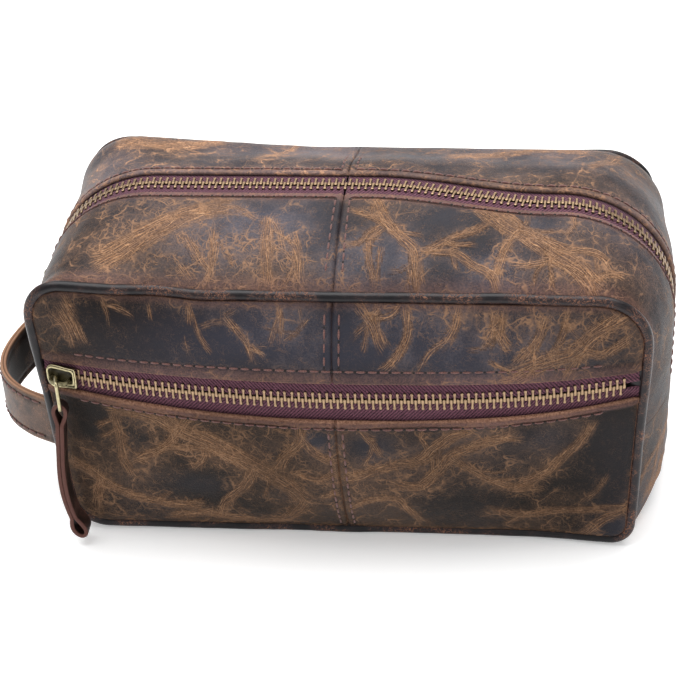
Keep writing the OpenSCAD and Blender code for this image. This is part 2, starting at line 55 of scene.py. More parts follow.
SEAM_H, BAG_D, CROWN = 119, 116, 17
TOP_HALF_W, BASE_HALF_W = 122.5, 116
LEFT_BELLY, RIGHT_BELLY = 3.5, 11
BASE_BELLY_LEFT, BASE_BELLY_RIGHT = 6, 14.5
ZIP_DRIFT, DRIFT_FROM, DRIFT_TO = 12.5, 10, 85
BACK_NARROW_LEFT, BACK_NARROW_RIGHT = 2.5, 0
TOP_R, TOP_R_MIDDLE, TOP_R_FRONT_LEFT = 20, 47, 14
BASE_R, BASE_R_MIDDLE, BASE_R_FRONT_RIGHT = 14, 16, 8
FRONT_BULGE, BACK_BULGE = 16, 8
SEAM_LIFT, LIFT_DEPTH = 3, 8
SEAM_Y = BAG_D / 2
RIM_Y = SEAM_Y + 2.5
RIM_INSET = 2.6
LEATHER_T, LINING_T = 1.6, 0.5
PIPING_R, CORD_R, ALLOWANCE = 2.3, 1.1, 6
JOINT_S, TOP_MIDDLE_S = 2.53, 4.999
TOP_SLOT, TAPE_W = 7.5, 15
POCKET_ZIP_Z = 81.5
TAPE_TOP, TAPE_T, TAPE_INNER = 1.7, 0.6, 1.2
TOOTH_PITCH, TOOTH_TOP, TOOTH_H = 2.8, 0.8, 2.4
STITCH_PITCH, SEAM_STITCH_X = 4.6, 2.85
UPPER_STITCH, LOWER_STITCH, TOP_STITCH, STRAP_STITCH = 4.4, 3.0, 3, 2.6
PANEL_TOP, PANEL_BASE = SEAM_H - RIM_INSET, SEAM_LIFT + RIM_INSET
STRAP_Z, STRAP_RISE, STRAP_W, STRAP_T = 52, -1.5, 22.5, 1.6

# ---------------------------------------------------------------- noise


def hashed(i, j, k, seed):
    """A fixed value from -1 to 1 at each lattice point."""
    h = i * 374761393 + j * 668265263 + k * 1442695041 + seed * 1274126177
    h = (h ^ (h >> 13)) & 0xFFFFFFFF
    h = (h * 1274126177) & 0xFFFFFFFF
    return ((h ^ (h >> 16)) & 0xFFFF) / 32767.5 - 1


def noise(points, size, seed=0):
    """Smooth noise from -1 to 1 over points, with features of that size in mm."""
    p = np.asarray(points, float) / size + 1000.0
    cell = np.floor(p).astype(np.int64)
    f = p - cell
    f = f * f * (3 - 2 * f)
    total = np.zeros(p.shape[:-1])
    for corner in range(8):
        bits = (corner & 1, corner >> 1 & 1, corner >> 2)
        weight = np.ones(p.shape[:-1])
        for axis, bit in enumerate(bits):
            weight = weight * (f[..., axis] if bit else 1 - f[..., axis])
        i, j, k = (cell[..., axis] + bit for axis, bit in enumerate(bits))
        total += weight * hashed(i, j, k, seed)
    return total


def ramp(value, low, high):
    """0 below low, 1 above high, smooth between."""
    t = np.clip((value - low) / (high - low), 0, 1)
    return t * t * (3 - 2 * t)


# ---------------------------------------------------------------- the bag's surface


def along_depth(front, middle, back, q):
    """A measure at depth q, from its values at the front seam, the middle and the back."""
    bow = middle - (front + back) / 2
    return front * (1 - q) / 2 + back * (1 + q) / 2 + bow * (1 - q * q)


def outline(side, q, offset=0.0):
    """Half outline at depth q: top arc, base arc and the lean of the side's normal."""
    right = np.asarray(side) > 0
    belly = np.where(right, RIGHT_BELLY, LEFT_BELLY)
    base_belly = np.where(right, BASE_BELLY_RIGHT, BASE_BELLY_LEFT)
    narrow = np.where(right, BACK_NARROW_RIGHT, BACK_NARROW_LEFT)
    rt = along_depth(np.where(right, TOP_R, TOP_R_FRONT_LEFT), TOP_R_MIDDLE, TOP_R, q)
    rb = along_depth(np.where(right, BASE_R_FRONT_RIGHT, BASE_R), BASE_R_MIDDLE, BASE_R, q)
    xt = along_depth(TOP_HALF_W, TOP_HALF_W + belly, TOP_HALF_W - narrow, q) - rt
    xb = along_depth(BASE_HALF_W, BASE_HALF_W + base_belly, BASE_HALF_W, q) - rb
    rise = np.maximum(0, 1 - (1 - np.abs(q)) * SEAM_Y / LIFT_DEPTH)
    zt = SEAM_H + CROWN * (1 - q * q) - rt
    zb = SEAM_LIFT * rise * rise + rb
    dx, dz = xt - xb, zt - zb
    lean = np.arctan2(dz, dx) - np.arccos((rb - rt) / np.hypot(dx, dz))
    return xt, zt, rt + offset, xb, zb, rb + offset, lean


def drift_at(x):
    """How far the main zip has drifted towards the front at x."""
    return ZIP_DRIFT * ramp(x, DRIFT_FROM, DRIFT_TO)


def shell(s, q, offset=0.0):
    """Points of the wrap-round skin. s is 0 at the base's middle, 1 to 2 round the
    base corner, 2 to 3 up the side, 3 to 4 round the top corner, 5 at the top's
    middle, and negative on the left. q is -1 at the front seam, 1 at the back."""
    s, q, offset = np.broadcast_arrays(s, q, offset)
    side, a = np.where(s < 0, -1.0, 1.0), np.abs(s)
    xt, zt, rt, xb, zb, rb, lean = outline(side, q, offset)
    nx, nz = np.cos(lean), np.sin(lean)
    base_turn = -math.pi / 2 + (lean + math.pi / 2) * (a - 1)
    top_turn = lean + (math.pi / 2 - lean) * (a - 3)
    parts = [a < 1, a < 2, a < 3, a < 4]
    x = np.select(
        parts,
        [
            xb * a,
            xb + rb * np.cos(base_turn),
            (xb + rb * nx) * (3 - a) + (xt + rt * nx) * (a - 2),
            xt + rt * np.cos(top_turn),
        ],
        xt * (5 - a),
    )
    z = np.select(
        parts,
        [
            zb - rb,
            zb + rb * np.sin(base_turn),
            (zb + rb * nz) * (3 - a) + (zt + rt * nz) * (a - 2),
            zt + rt * np.sin(top_turn),
        ],
        zt + rt,
    )
    drift = np.clip(a - 1.5, 0, 1) * drift_at(side * x) * (1 - q * q) ** 2
    return np.stack([side * x, q * SEAM_Y - drift, z], -1)


def half_width(side, q, offset, z):
    """Half width of the outline at height z."""
    xt, zt, rt, xb, zb, rb, lean = outline(side, q, offset)
    nx, nz = np.cos(lean), np.sin(lean)
    low_z, high_z = zb + rb * nz, zt + rt * nz
    t = (z - low_z) / (high_z - low_z)
    straight = (xb + rb * nx) * (1 - t) + (xt + rt * nx) * t
    top = xt + np.sqrt(np.maximum(0, rt * rt - (z - zt) ** 2))
    base = xb + np.sqrt(np.maximum(0, rb * rb - (z - zb) ** 2))
    return np.where(z >= high_z, top, np.where(z <= low_z, base, straight))


def arc_radius(half, bulge):
    """Radius of an arc of that half width and bulge."""
    return (half * half + bulge * bulge) / (2 * bulge)


ZIP_HALF = float(half_width(1, -1, -RIM_INSET, POCKET_ZIP_Z))
ZIP_R = arc_radius(ZIP_HALF, FRONT_BULGE)
ZIP_AXIS_Y = -(RIM_Y + FRONT_BULGE) + ZIP_R


def panel(face, x, z, depth=0.0):
    """Points of the front (face -1) or back (face 1) panel, pushed in by depth."""
    x, z, depth = np.broadcast_arrays(x, z, depth)
    bulge = FRONT_BULGE if face < 0 else BACK_BULGE
    half = np.maximum(1, half_width(np.where(x < 0, -1, 1), face, -RIM_INSET, z))
    xi = np.minimum(1, np.abs(x) / half) * ZIP_HALF
    r = arc_radius(ZIP_HALF, bulge)
    across = (np.sqrt(r * r - xi * xi) - (r - bulge)) / bulge
    above = 1 - ((z - POCKET_ZIP_Z) / (PANEL_TOP - POCKET_ZIP_Z)) ** 2
    below = 1 - ((POCKET_ZIP_Z - z) / (POCKET_ZIP_Z - PANEL_BASE)) ** 3
    full = np.maximum(0, np.where(z > POCKET_ZIP_Z, above, below))
    return np.stack([x, face * (RIM_Y + bulge * across * full - depth), z], -1)


def slot_edge(up, xi):
    """Height of the leather's edge over (up) or under the pocket zip."""
    sag = 6.7 + 2.1 * (1 - xi * xi) if up else -6.7 - 3.6 * (1 - xi * xi)
    return POCKET_ZIP_Z + sag


def top_length(s, q):
    """Signed arc length from the top's middle to position s, at depth q."""
    side, a = np.where(s < 0, -1.0, 1.0), np.abs(s)
    xt, zt, rt, xb, zb, rb, lean = outline(side, q)
    turn = rt * (math.pi / 2 - lean)
    straight = np.hypot(xt - xb, zt - zb)
    past = np.where(a >= 3, turn * (4 - a), turn + straight * (3 - a))
    return side * np.where(a >= 4, xt * (5 - a), xt + past)


def even_steps(low, high, pitch, q=0.0):
    """Values of s from low to high, evenly spaced along the skin at depth q."""
    fine = np.linspace(low, high, 800)
    length = run_of(shell(fine, q))
    count = max(2, int(length[-1] / pitch))
    return np.interp(np.linspace(0, length[-1], count + 1), length, fine)


def least(*values):
    """Smallest of several arrays of shapes that fit together."""
    return np.min(np.broadcast_arrays(*values), 0)


def run_of(points):
    """Distance along a line of points, from its first."""
    return np.append(0, np.cumsum(np.linalg.norm(np.diff(points, axis=0), axis=1)))


# ---------------------------------------------------------------- meshes


def unit(vectors):
    """The vectors at length 1."""
    return vectors / np.maximum(1e-9, np.linalg.norm(vectors, axis=-1, keepdims=True))


def normals_of(grid, centre=(0, 0, 60)):
    """Unit normals of a grid of points, facing away from centre."""
    n = unit(np.cross(np.gradient(grid, axis=0), np.gradient(grid, axis=1)))
    away = np.sum(n * (grid - np.array(centre)), -1).mean()
    return n if away > 0 else -n


def grid_faces(rows, cols, start=0):
    """Quads between the points of a grid whose first vertex is number start."""
    i, j = np.meshgrid(np.arange(rows - 1), np.arange(cols - 1), indexing="ij")
    first = start + i * cols + j
    return np.stack([first, first + 1, first + cols + 1, first + cols], -1).reshape(-1, 4)


def tube_faces(rows, cols, loop):
    """Faces round a tube of rows rings, which joins up with itself if loop."""
    i, j = np.meshgrid(np.arange(rows if loop else rows - 1), np.arange(cols), indexing="ij")
    here, beyond, turn = i * cols, (i + 1) % rows * cols, (j + 1) % cols
    return np.stack([here + j, here + turn, beyond + turn, beyond + j], -1).reshape(-1, 4)


def slab(outer, inner, bulge=1.0, rings=3):
    """Closed solid between two grids with a rounded rim. Returns its vertices, its
    faces, and for each vertex its grid index and its share of the rim."""
    rows, cols = outer.shape[:2]
    top = [(0, j) for j in range(cols)] + [(i, cols - 1) for i in range(1, rows)]
    low = [(rows - 1, j) for j in range(cols - 2, -1, -1)] + [(i, 0) for i in range(rows - 2, 0, -1)]
    border = np.array(top + low)
    i, j = border.T
    a, b = outer[i, j], inner[i, j]
    out = unit(a - outer[np.clip(i, 1, rows - 2), np.clip(j, 1, cols - 2)])
    half = np.linalg.norm(a - b, axis=1, keepdims=True) / 2 * bulge
    turns = np.pi * (np.arange(rings) + 1) / (rings + 1)
    rim = [(a + b) / 2 + (a - b) / 2 * math.cos(t) + out * half * math.sin(t) for t in turns]
    count, size, flat = rows * cols, len(border), i * cols + j
    loops = [flat] + [2 * count + k * size + np.arange(size) for k in range(rings)] + [flat + count]
    faces = [grid_faces(rows, cols), grid_faces(rows, cols, count)[:, ::-1]]
    for p, n in zip(loops, loops[1:]):
        faces.append(np.stack([np.roll(p, -1), p, n, np.roll(n, -1)], -1))
    faces = np.concatenate(faces)
    ids = np.concatenate([np.arange(count), np.arange(count)] + [flat] * rings)
    edge = np.concatenate([np.zeros(count), np.zeros(count)] + [np.ones(size)] * rings)
    verts = np.concatenate([outer.reshape(-1, 3), inner.reshape(-1, 3)] + rim)
    i, j = rows // 2, cols // 2
    turn = np.cross(outer[i, j + 1] - outer[i, j], outer[i + 1, j] - outer[i, j])
    if np.dot(turn, outer[i, j] - inner[i, j]) < 0:
        faces = faces[:, ::-1]
    return verts, faces, ids, edge


def merged(parts):
    """Several (vertices, faces) as one."""
    verts, faces, count = [], [], 0
    for v, f in parts:
        verts.append(v)
        faces += [[k + count for k in face] for face in (f.tolist() if hasattr(f, "tolist") else f)]
        count += len(v)
    return np.concatenate(verts), faces


def bell(value, middle, reach):
    """1 at the middle, fading to 0 on both sides."""
    return np.exp(-(((value - middle) / reach) ** 2))


# The back's top line, along x, and how much it lies above or below the plain outline
BACK_SAG = [(-125, -95, -60, -25, 10, 60, 110), (2.2, 1.6, -0.8, -3.2, -3.4, -3.4, -3.8)]


def settle(points):
    """Small sags that the filled bag has and its plain outline doesn't."""
    x, y, z = points.T
    front, top = ramp(y, -44, -56), ramp(z, 92, 118)
    shift = np.zeros_like(points)
    # the front's top edge is raised at the left
    shift[:, 2] += 2.3 * front * ramp(x, -50, -74) * top
    # the pocket zip sags at the right
    shift[:, 2] -= 2.2 * front * bell(x, 84, 48) * bell(z, 76, 22)
    # the lower right corner is pushed forward
    shift[:, 1] -= 3.0 * front * bell(x, 112, 22) * bell(z, 8, 20)
    # the top left corner of the front is raised further
    shift[:, 2] += 1.6 * front * ramp(x, -84, -112) * ramp(z, 80, 118)
    shift[:, 2] += np.interp(x, *BACK_SAG) * ramp(y, 14, 44) * top
    return points + shift


def make(name, verts, faces, body, slot, *materials, smooth=True, **attributes):
    """A piece from vertices in mm, which rides on a body and stands for the CAD node
    of its name. Each further keyword is a value or vector at every vertex."""
    mesh = bpy.data.meshes.new(name)
    faces = faces.tolist() if hasattr(faces, "tolist") else faces
    verts = np.asarray(verts)
    verts = settle(verts) if body == "bag" else verts
    mesh.from_pydata((verts * MM).tolist(), [], faces)
    for key, values in attributes.items():
        vector = values.ndim == 2
        layer = mesh.attributes.new(key, "FLOAT_VECTOR" if vector else "FLOAT", "POINT")
        layer.data.foreach_set("vector" if vector else "value", values.astype(np.float32).ravel())
    mesh.polygons.foreach_set("use_smooth", [smooth] * len(mesh.polygons))
    for material in materials:
        mesh.materials.append(material)
    mesh.validate()
    piece = bpy.data.objects.new(name, mesh)
    bpy.context.scene.collection.objects.link(piece)
    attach(piece, body)
    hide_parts(name)
    return piece


def sweep(path, sides, across, up, loop=False):
    """Tube along path. sides are section points [a, b] laid along across and up."""
    ring = path[:, None] + sides[..., :1] * across[:, None] + sides[..., 1:] * up[:, None]
    rows, cols = ring.shape[:2]
    faces = tube_faces(rows, cols, loop).tolist()
    if not loop:
        faces += [list(range(cols))[::-1], list(range((rows - 1) * cols, rows * cols))]
    return ring.reshape(-1, 3), faces


def flat_sweep(path, section, across, loop=True):
    """A section swept along a path that lies in a plane with the normal across. The
    section is one list of points, or one for each point of the path."""
    along = np.roll(path, -1, 0) - np.roll(path, 1, 0) if loop else np.gradient(path, axis=0)
    across = np.tile(np.array(across, float), (len(path), 1))
    return sweep(path, section + 0 * path[:, :1, None], across, np.cross(unit(along), across), loop)


# ---------------------------------------------------------------- folds in the leather

# Each fold: half width, strength and its line on a flat chart of the surface, in mm.
# Front panel: x and z.
FRONT_FOLDS = [
    (5.0, 0.9, [(-109, 110), (-105, 104), (-104, 99)]),
    (2.5, 0.8, [(-107, 115), (-103, 109)]),
    (1.2, 0.55, [(-92, 116), (-90, 112), (-89, 107)]),
    (1.0, 0.7, [(-73, 115), (-72, 110)]),
    (1.2, 0.6, [(-57, 116), (-55, 112), (-53, 107)]),
    (1.4, 0.4, [(-52, 109), (-46, 111), (-41, 111)]),
    (1.8, 0.65, [(-42, 112), (-37, 108), (-33, 103), (-31, 98)]),
    (1.2, 0.45, [(-31, 103), (-27, 100)]),
    (1.5, 0.8, [(-21, 116), (-20, 112), (-20, 106)]),
    (1.0, 0.6, [(-10, 112), (-14, 108), (-18, 106)]),
    (1.0, 0.5, [(-13, 116), (-12, 113)]),
    (1.3, 0.4, [(-59, 105), (-57, 99)]),
    (2.5, 0.9, [(12, 116), (16, 111), (20, 104)]),
    (1.6, 0.8, [(18, 116), (18, 111)]),
    (2.2, 0.9, [(29, 116), (30, 109), (27, 102), (21, 96)]),
    (2.4, 0.8, [(49, 116), (48, 110), (44, 105)]),
    (1.4, 1.0, [(63, 115), (63, 106)]),
    (1.4, 1.0, [(67, 115), (66, 106)]),
    (2.4, 0.9, [(83, 113), (80, 105), (73, 98)]),
    (1.8, 0.9, [(92, 114), (89, 105), (86, 100)]),
    (4.5, 1.0, [(112, 112), (102, 106), (95, 100), (83, 97), (71, 92)]),
    (2.6, 0.9, [(116, 104), (106, 98), (98, 99), (91, 90)]),
    (3.0, 0.8, [(-92, 68), (-90, 53), (-90, 42), (-87, 35)]),
    (5.5, 1.0, [(-94, 71), (-75, 69), (-65, 63), (-52, 57), (-42, 51), (-32, 44), (-22, 35), (-16, 25)]),
    (2.6, 0.9, [(-86, 43), (-73, 51), (-66, 59), (-61, 67)]),
    (2.2, 0.8, [(-73, 52), (-57, 53), (-47, 51), (-40, 45)]),
    (3.0, 0.8, [(-36, 44), (-40, 33), (-49, 22), (-53, 11)]),
    (3.4, 0.9, [(-16, 25), (-21, 16), (-31, 9), (-48, 11), (-59, 13), (-75, 9)]),
    (3.4, 0.9, [(-114, 37), (-104, 32), (-100, 28), (-89, 22), (-74, 18), (-60, 18)]),
    (3.0, 0.7, [(-101, 33), (-104, 22), (-106, 14)]),
    (3.2, 1.0, [(-14, 70), (-15, 61), (-21, 53), (-25, 45)]),
    (2.4, 0.9, [(-1, 45), (-9, 40), (-18, 42)]),
    (2.0, 0.8, [(-1, 33), (-9, 28)]),
    (2.6, 0.8, [(-1, 50), (-9, 55), (-14, 62)]),
    (1.8, 0.6, [(-60, 42), (-56, 47), (-54, 52)]),
    (3.6, 0.9, [(3, 41), (14, 46), (23, 49), (33, 52), (40, 59), (47, 65), (54, 68)]),
    (3.4, 0.9, [(22, 38), (32, 37), (39, 45), (47, 55), (57, 60), (69, 64)]),
    (3.0, 0.9, [(47, 52), (56, 43), (64, 36), (70, 33), (79, 32)]),
    (2.4, 0.8, [(2, 21), (12, 28), (22, 29), (26, 22), (31, 12)]),
    (3.0, 0.8, [(70, 33), (82, 41), (90, 50), (97, 57), (101, 66)]),
    (2.6, 0.8, [(60, 20), (73, 17), (86, 19), (98, 19), (106, 20), (116, 20)]),
    (1.8, 0.6, [(98, 25), (102, 29), (107, 36)]),
    (3.0, 0.7, [(97, 5), (106, 15), (116, 19)]),
    (2.0, 0.8, [(10, 68), (15, 60), (18, 54)]),
    (1.8, 0.7, [(66, 10), (73, 18)]),
]
# Top strips: arc length from the top's middle, and y.
TOP_FOLDS = [
    (2.8, 1.0, [(13, -10), (19, -24), (25, -32), (31, -39), (33, -51)]),
    (2.2, 0.8, [(4, -19), (15, -23), (24, -32)]),
    (1.5, 0.8, [(3, -36), (9, -35), (12, -30), (16, -27)]),
    (1.8, 0.9, [(17, -28), (13, -34), (13, -42), (16, -52)]),
    (1.5, 0.8, [(18, -38), (17, -45), (17, -52)]),
    (1.5, 0.8, [(30, -38), (30, -51)]),
    (2.0, 1.0, [(34, -39), (39, -37), (46, -33), (53, -31), (60, -27)]),
    (2.2, 1.0, [(36, -39), (47, -40), (54, -45), (62, -49), (64, -54)]),
    (2.6, 0.8, [(64, -51), (65, -44), (68, -37), (71, -32)]),
    (4.6, 1.0, [(52, -12), (62, -25), (74, -33), (86, -41), (96, -47), (102, -52)]),
    (2.4, 0.8, [(63, -18), (69, -25), (78, -33), (90, -39), (102, -40), (108, -43)]),
    (1.8, 0.6, [(70, -46), (79, -45), (87, -42)]),
    (1.6, 0.6, [(92, -21), (93, -28), (90, -34)]),
    (7.0, 0.9, [(-96, -45), (-86, -39), (-75, -31), (-65, -24), (-55, -19), (-44, -16)]),
    (2.6, 0.6, [(-51, -30), (-49, -39), (-49, -51)]),
    (2.6, 0.6, [(-61, -33), (-55, -43), (-49, -48)]),
    (3.4, 0.7, [(-29, -23), (-28, -37), (-26, -52)]),
    (3.0, 0.7, [(-18, -33), (-15, -43), (-14, -52)]),
    (2.0, 0.5, [(-25, -26), (-21, -39)]),
    (2.6, 0.5, [(-63, -46), (-57, -52)]),
    (6.0, 0.6, [(-104, 44), (-88, 36), (-70, 40), (-58, 47)]),
    (5.0, 0.6, [(38, 30), (58, 36), (78, 44), (98, 42)]),
    (4.0, 0.5, [(96, 20), (104, 30), (108, 42)]),
    (3.0, 0.5, [(-40, 22), (-30, 34), (-26, 48)]),
]


def wandering_folds(rng, count, low, high):
    """Random folds over a chart from corner low to corner high."""
    folds = []
    for _ in range(count):
        point = rng.uniform(low, high)
        heading = rng.uniform(0, 2 * math.pi)
        line = [tuple(point)]
        for _ in range(rng.integers(2, 6)):
            heading += rng.normal(0, 0.38)
            point = point + rng.uniform(7, 12) * np.array([math.cos(heading), math.sin(heading)])
            line.append(tuple(point))
        folds.append((rng.uniform(1.6, 4.5), rng.uniform(0.5, 1.0), line))
    return folds


def smooth_line(points, pitch=1.5):
    """A curve through the points, about pitch between its own points."""
    p = np.array([points[0], *points, points[-1]], float)
    out = []
    for a, b, c, d in zip(p, p[1:], p[2:], p[3:]):
        t = np.linspace(0, 1, max(2, int(np.linalg.norm(c - b) / pitch)), endpoint=False)[:, None]
        curve = 2 * b + (c - a) * t + (2 * a - 5 * b + 4 * c - d) * t**2
        out.append((curve + (3 * b - a - 3 * c + d) * t**3) / 2)
    return np.concatenate(out + [p[-1:]])


def branches(folds, rng, share=2.0):
    """Thin folds that leave the given ones at a slant."""
    out = []
    for _, strength, line in folds:
        curve = smooth_line(line)
        length = 1.5 * len(curve)
        for _ in range(rng.poisson(share * length / 30)):
            k = rng.integers(0, len(curve) - 1)
            heading = math.atan2(*(curve[k + 1] - curve[k])[::-1])
            heading += rng.choice((-1, 1)) * rng.uniform(0.3, 0.9)
            point, branch = curve[k], [tuple(curve[k])]
            for _ in range(rng.integers(1, 4)):
                heading += rng.normal(0, 0.3)
                point = point + rng.uniform(3, 6) * np.array([math.cos(heading), math.sin(heading)])
                branch.append(tuple(point))
            out.append((rng.uniform(0.9, 1.9), strength * rng.uniform(0.5, 0.9), branch))
    return list(folds) + out


END_RUN = 5.0


def fold_fields(chart, folds, layers=3):
    """Where folds pass over the chart's points. Returns for each layer the distance
    across and along the fold and its mask, and how near any fold is."""
    flat = chart.reshape(-1, 2)
    fields = np.zeros((layers, len(flat), 3))
    near = np.zeros(len(flat))
    for index, (half, strength, line) in enumerate(folds):
        curve = smooth_line(line)
        run = END_RUN * min(1.0, half / 2.5)
        heads = [curve[0] - curve[1], curve[-1] - curve[-2]]
        ends = [c + run * h / np.linalg.norm(h) for c, h in zip((curve[0], curve[-1]), heads)]
        curve = np.concatenate([ends[:1], curve, ends[1:]])
        reach = half * 3.2
        low, high = curve.min(0) - reach, curve.max(0) + reach
        ids = np.nonzero(((flat > low) & (flat < high)).all(1))[0]
        if not len(ids):
            continue
        step = np.diff(curve, axis=0)
        size = np.maximum(1e-6, np.linalg.norm(step, axis=1))
        total = np.append(0, np.cumsum(size))
        to = flat[ids, None] - curve[None, :-1]
        t = np.clip((to * step).sum(-1) / size**2, 0, 1)
        distance = np.linalg.norm(to - t[..., None] * step, axis=-1)
        best = distance.argmin(1)
        rows = np.arange(len(ids))
        along = total[best] + t[rows, best] * size[best]
        turn = step[best, 0] * to[rows, best, 1] - step[best, 1] * to[rows, best, 0]
        distance = distance[rows, best]
        tail = np.minimum(along, total[-1] - along) / (2.2 * run)
        flare = 1.0 + 0.9 * (1 - np.clip(tail, 0, 1)) ** 2
        share = distance / (half * flare)
        fade = ramp(tail, 0, 1)
        mask = strength * np.clip(1 - share**2, 0, 1) * fade
        near[ids] = np.maximum(near[ids], strength * fade * np.clip(1 - share / 2.6, 0, 1))
        clash = [(np.minimum(layer[ids, 2], mask)).sum() for layer in fields]
        layer = fields[int(np.argmin(clash))]
        wins = mask > layer[ids, 2]
        across = np.sign(turn) * share * half
        values = np.stack([across + 17.3 * index, along, mask], -1)
        layer[ids[wins]] = values[wins]
    return fields.reshape(layers, *chart.shape[:-1], 3), near.reshape(chart.shape[:-1])


# ---------------------------------------------------------------- materials


class Shader:
    """A node material that is built by calls."""

    def __init__(self, name):
        self.material = bpy.data.materials.new(name)
        self.material.use_nodes = True
        self.tree = self.material.node_tree
        self.bsdf = self.tree.nodes["Principled BSDF"]

    def put(self, socket, value):
        if isinstance(value, bpy.types.NodeSocket):
            self.tree.links.new(value, socket)
        elif value is not None:
            flat = socket.type == "RGBA" and len(value) == 3
            socket.default_value = (*value, 1.0) if flat else value

    def fill(self, node, **inputs):
        """Sets inputs of a node by name."""
        for key, value in inputs.items():
            self.put(node.inputs[key.replace("_", " ")], value)
        return node

    def add(self, kind, *values, **settings):
        """A new node with those settings, its first inputs set to values."""
        node = self.tree.nodes.new(kind)
        for key, value in settings.items():
            setattr(node, key, value)
        for socket, value in zip(node.inputs, values):
            self.put(socket, value)
        return node

    def math(self, operation, *values, clamp=False):
        return self.add("ShaderNodeMath", *values, operation=operation, use_clamp=clamp).outputs[0]

    def times(self, a, b):
        return self.math("MULTIPLY", a, b)

    def plus(self, a, b, clamp=False):
        return self.math("ADD", a, b, clamp=clamp)

    def most(self, a, b):
        return self.math("MAXIMUM", a, b)

    def scaled(self, value, factor, shift):
        return self.math("MULTIPLY_ADD", value, factor, shift)

    def vector(self, operation, *values):
        return self.add("ShaderNodeVectorMath", *values, operation=operation).outputs[0]

    def position(self, x=1.0, y=1.0, z=1.0):
        """Object coordinates in mm, times x, y and z."""
        place = self.add("ShaderNodeTexCoord").outputs["Object"]
        return self.vector("MULTIPLY", place, (x / MM, y / MM, z / MM))

    def level(self, name):
        """A mesh attribute with one value."""
        return self.add("ShaderNodeAttribute", attribute_name=name).outputs["Fac"]

    def field(self, name):
        """The three values of a mesh attribute."""
        return self.split(self.add("ShaderNodeAttribute", attribute_name=name).outputs["Vector"])

    def split(self, vector):
        return tuple(self.add("ShaderNodeSeparateXYZ", vector).outputs)

    def join(self, x, y, z):
        return self.add("ShaderNodeCombineXYZ", x, y, z).outputs[0]

    def noise(self, vector, scale, detail=2.0, distortion=0.0, rough=0.5, output="Fac"):
        node = self.fill(self.add("ShaderNodeTexNoise"), Vector=vector, Scale=scale, Detail=detail)
        return self.fill(node, Distortion=distortion, Roughness=rough).outputs[output]

    def ramp(self, value, low, high, to_low=0.0, to_high=1.0):
        """Smoothly maps low..high to to_low..to_high."""
        node = self.add("ShaderNodeMapRange", interpolation_type="SMOOTHSTEP")
        self.fill(node, Value=value, From_Min=low, From_Max=high, To_Min=to_low, To_Max=to_high)
        return node.outputs[0]

    def lines(self, value, width):
        """Thin lines where a noise passes its middle."""
        off = self.math("ABSOLUTE", self.math("SUBTRACT", value, 0.5))
        return self.ramp(off, 0.0, width, 1.0, 0.0)

    def strands(self, across, along, pitch, width, seed):
        """Fine lines side by side at about that pitch, that wander and come and go."""
        slow = self.join(self.times(across, 0.3), self.times(along, 0.1), seed + 0.3)
        wander = self.scaled(self.noise(slow, 1.0, 1.0), 3.4, self.math("DIVIDE", across, pitch))
        line = self.ramp(self.math("PINGPONG", wander, 0.5), 0.0, width, 1.0, 0.0)
        spell = self.join(self.times(across, 0.9), self.times(along, 0.13), seed + 0.7)
        return self.times(line, self.ramp(self.noise(spell, 1.0, 2.0), 0.34, 0.58, 0.12, 1.0))

    def cells(self, vector, scale, width):
        """Thin lines round irregular cells."""
        node = self.add("ShaderNodeTexVoronoi", feature="DISTANCE_TO_EDGE")
        self.fill(node, Vector=vector, Scale=scale)
        return self.ramp(node.outputs["Distance"], 0.0, width, 1.0, 0.0)

    def mix(self, share, a, b, blend="MIX"):
        node = self.add("ShaderNodeMix", data_type="RGBA", blend_type=blend)
        for index, value in ((0, share), (6, a), (7, b)):
            self.put(node.inputs[index], value)
        return node.outputs[2]

    def bump(self, height, distance, strength=1.0, normal=None):
        node = self.add("ShaderNodeBump")
        self.fill(node, Strength=strength, Distance=distance * MM, Height=height, Normal=normal)
        return node.outputs[0]

    def finish(self, **inputs):
        self.fill(self.bsdf, **inputs)
        return self.material


def rgb(r, g, b):
    """A display colour, 0 to 255, as the linear colour that shaders use."""
    values = [v / 255 for v in (r, g, b)]
    return tuple(v / 12.92 if v <= 0.04045 else ((v + 0.055) / 1.055) ** 2.4 for v in values)


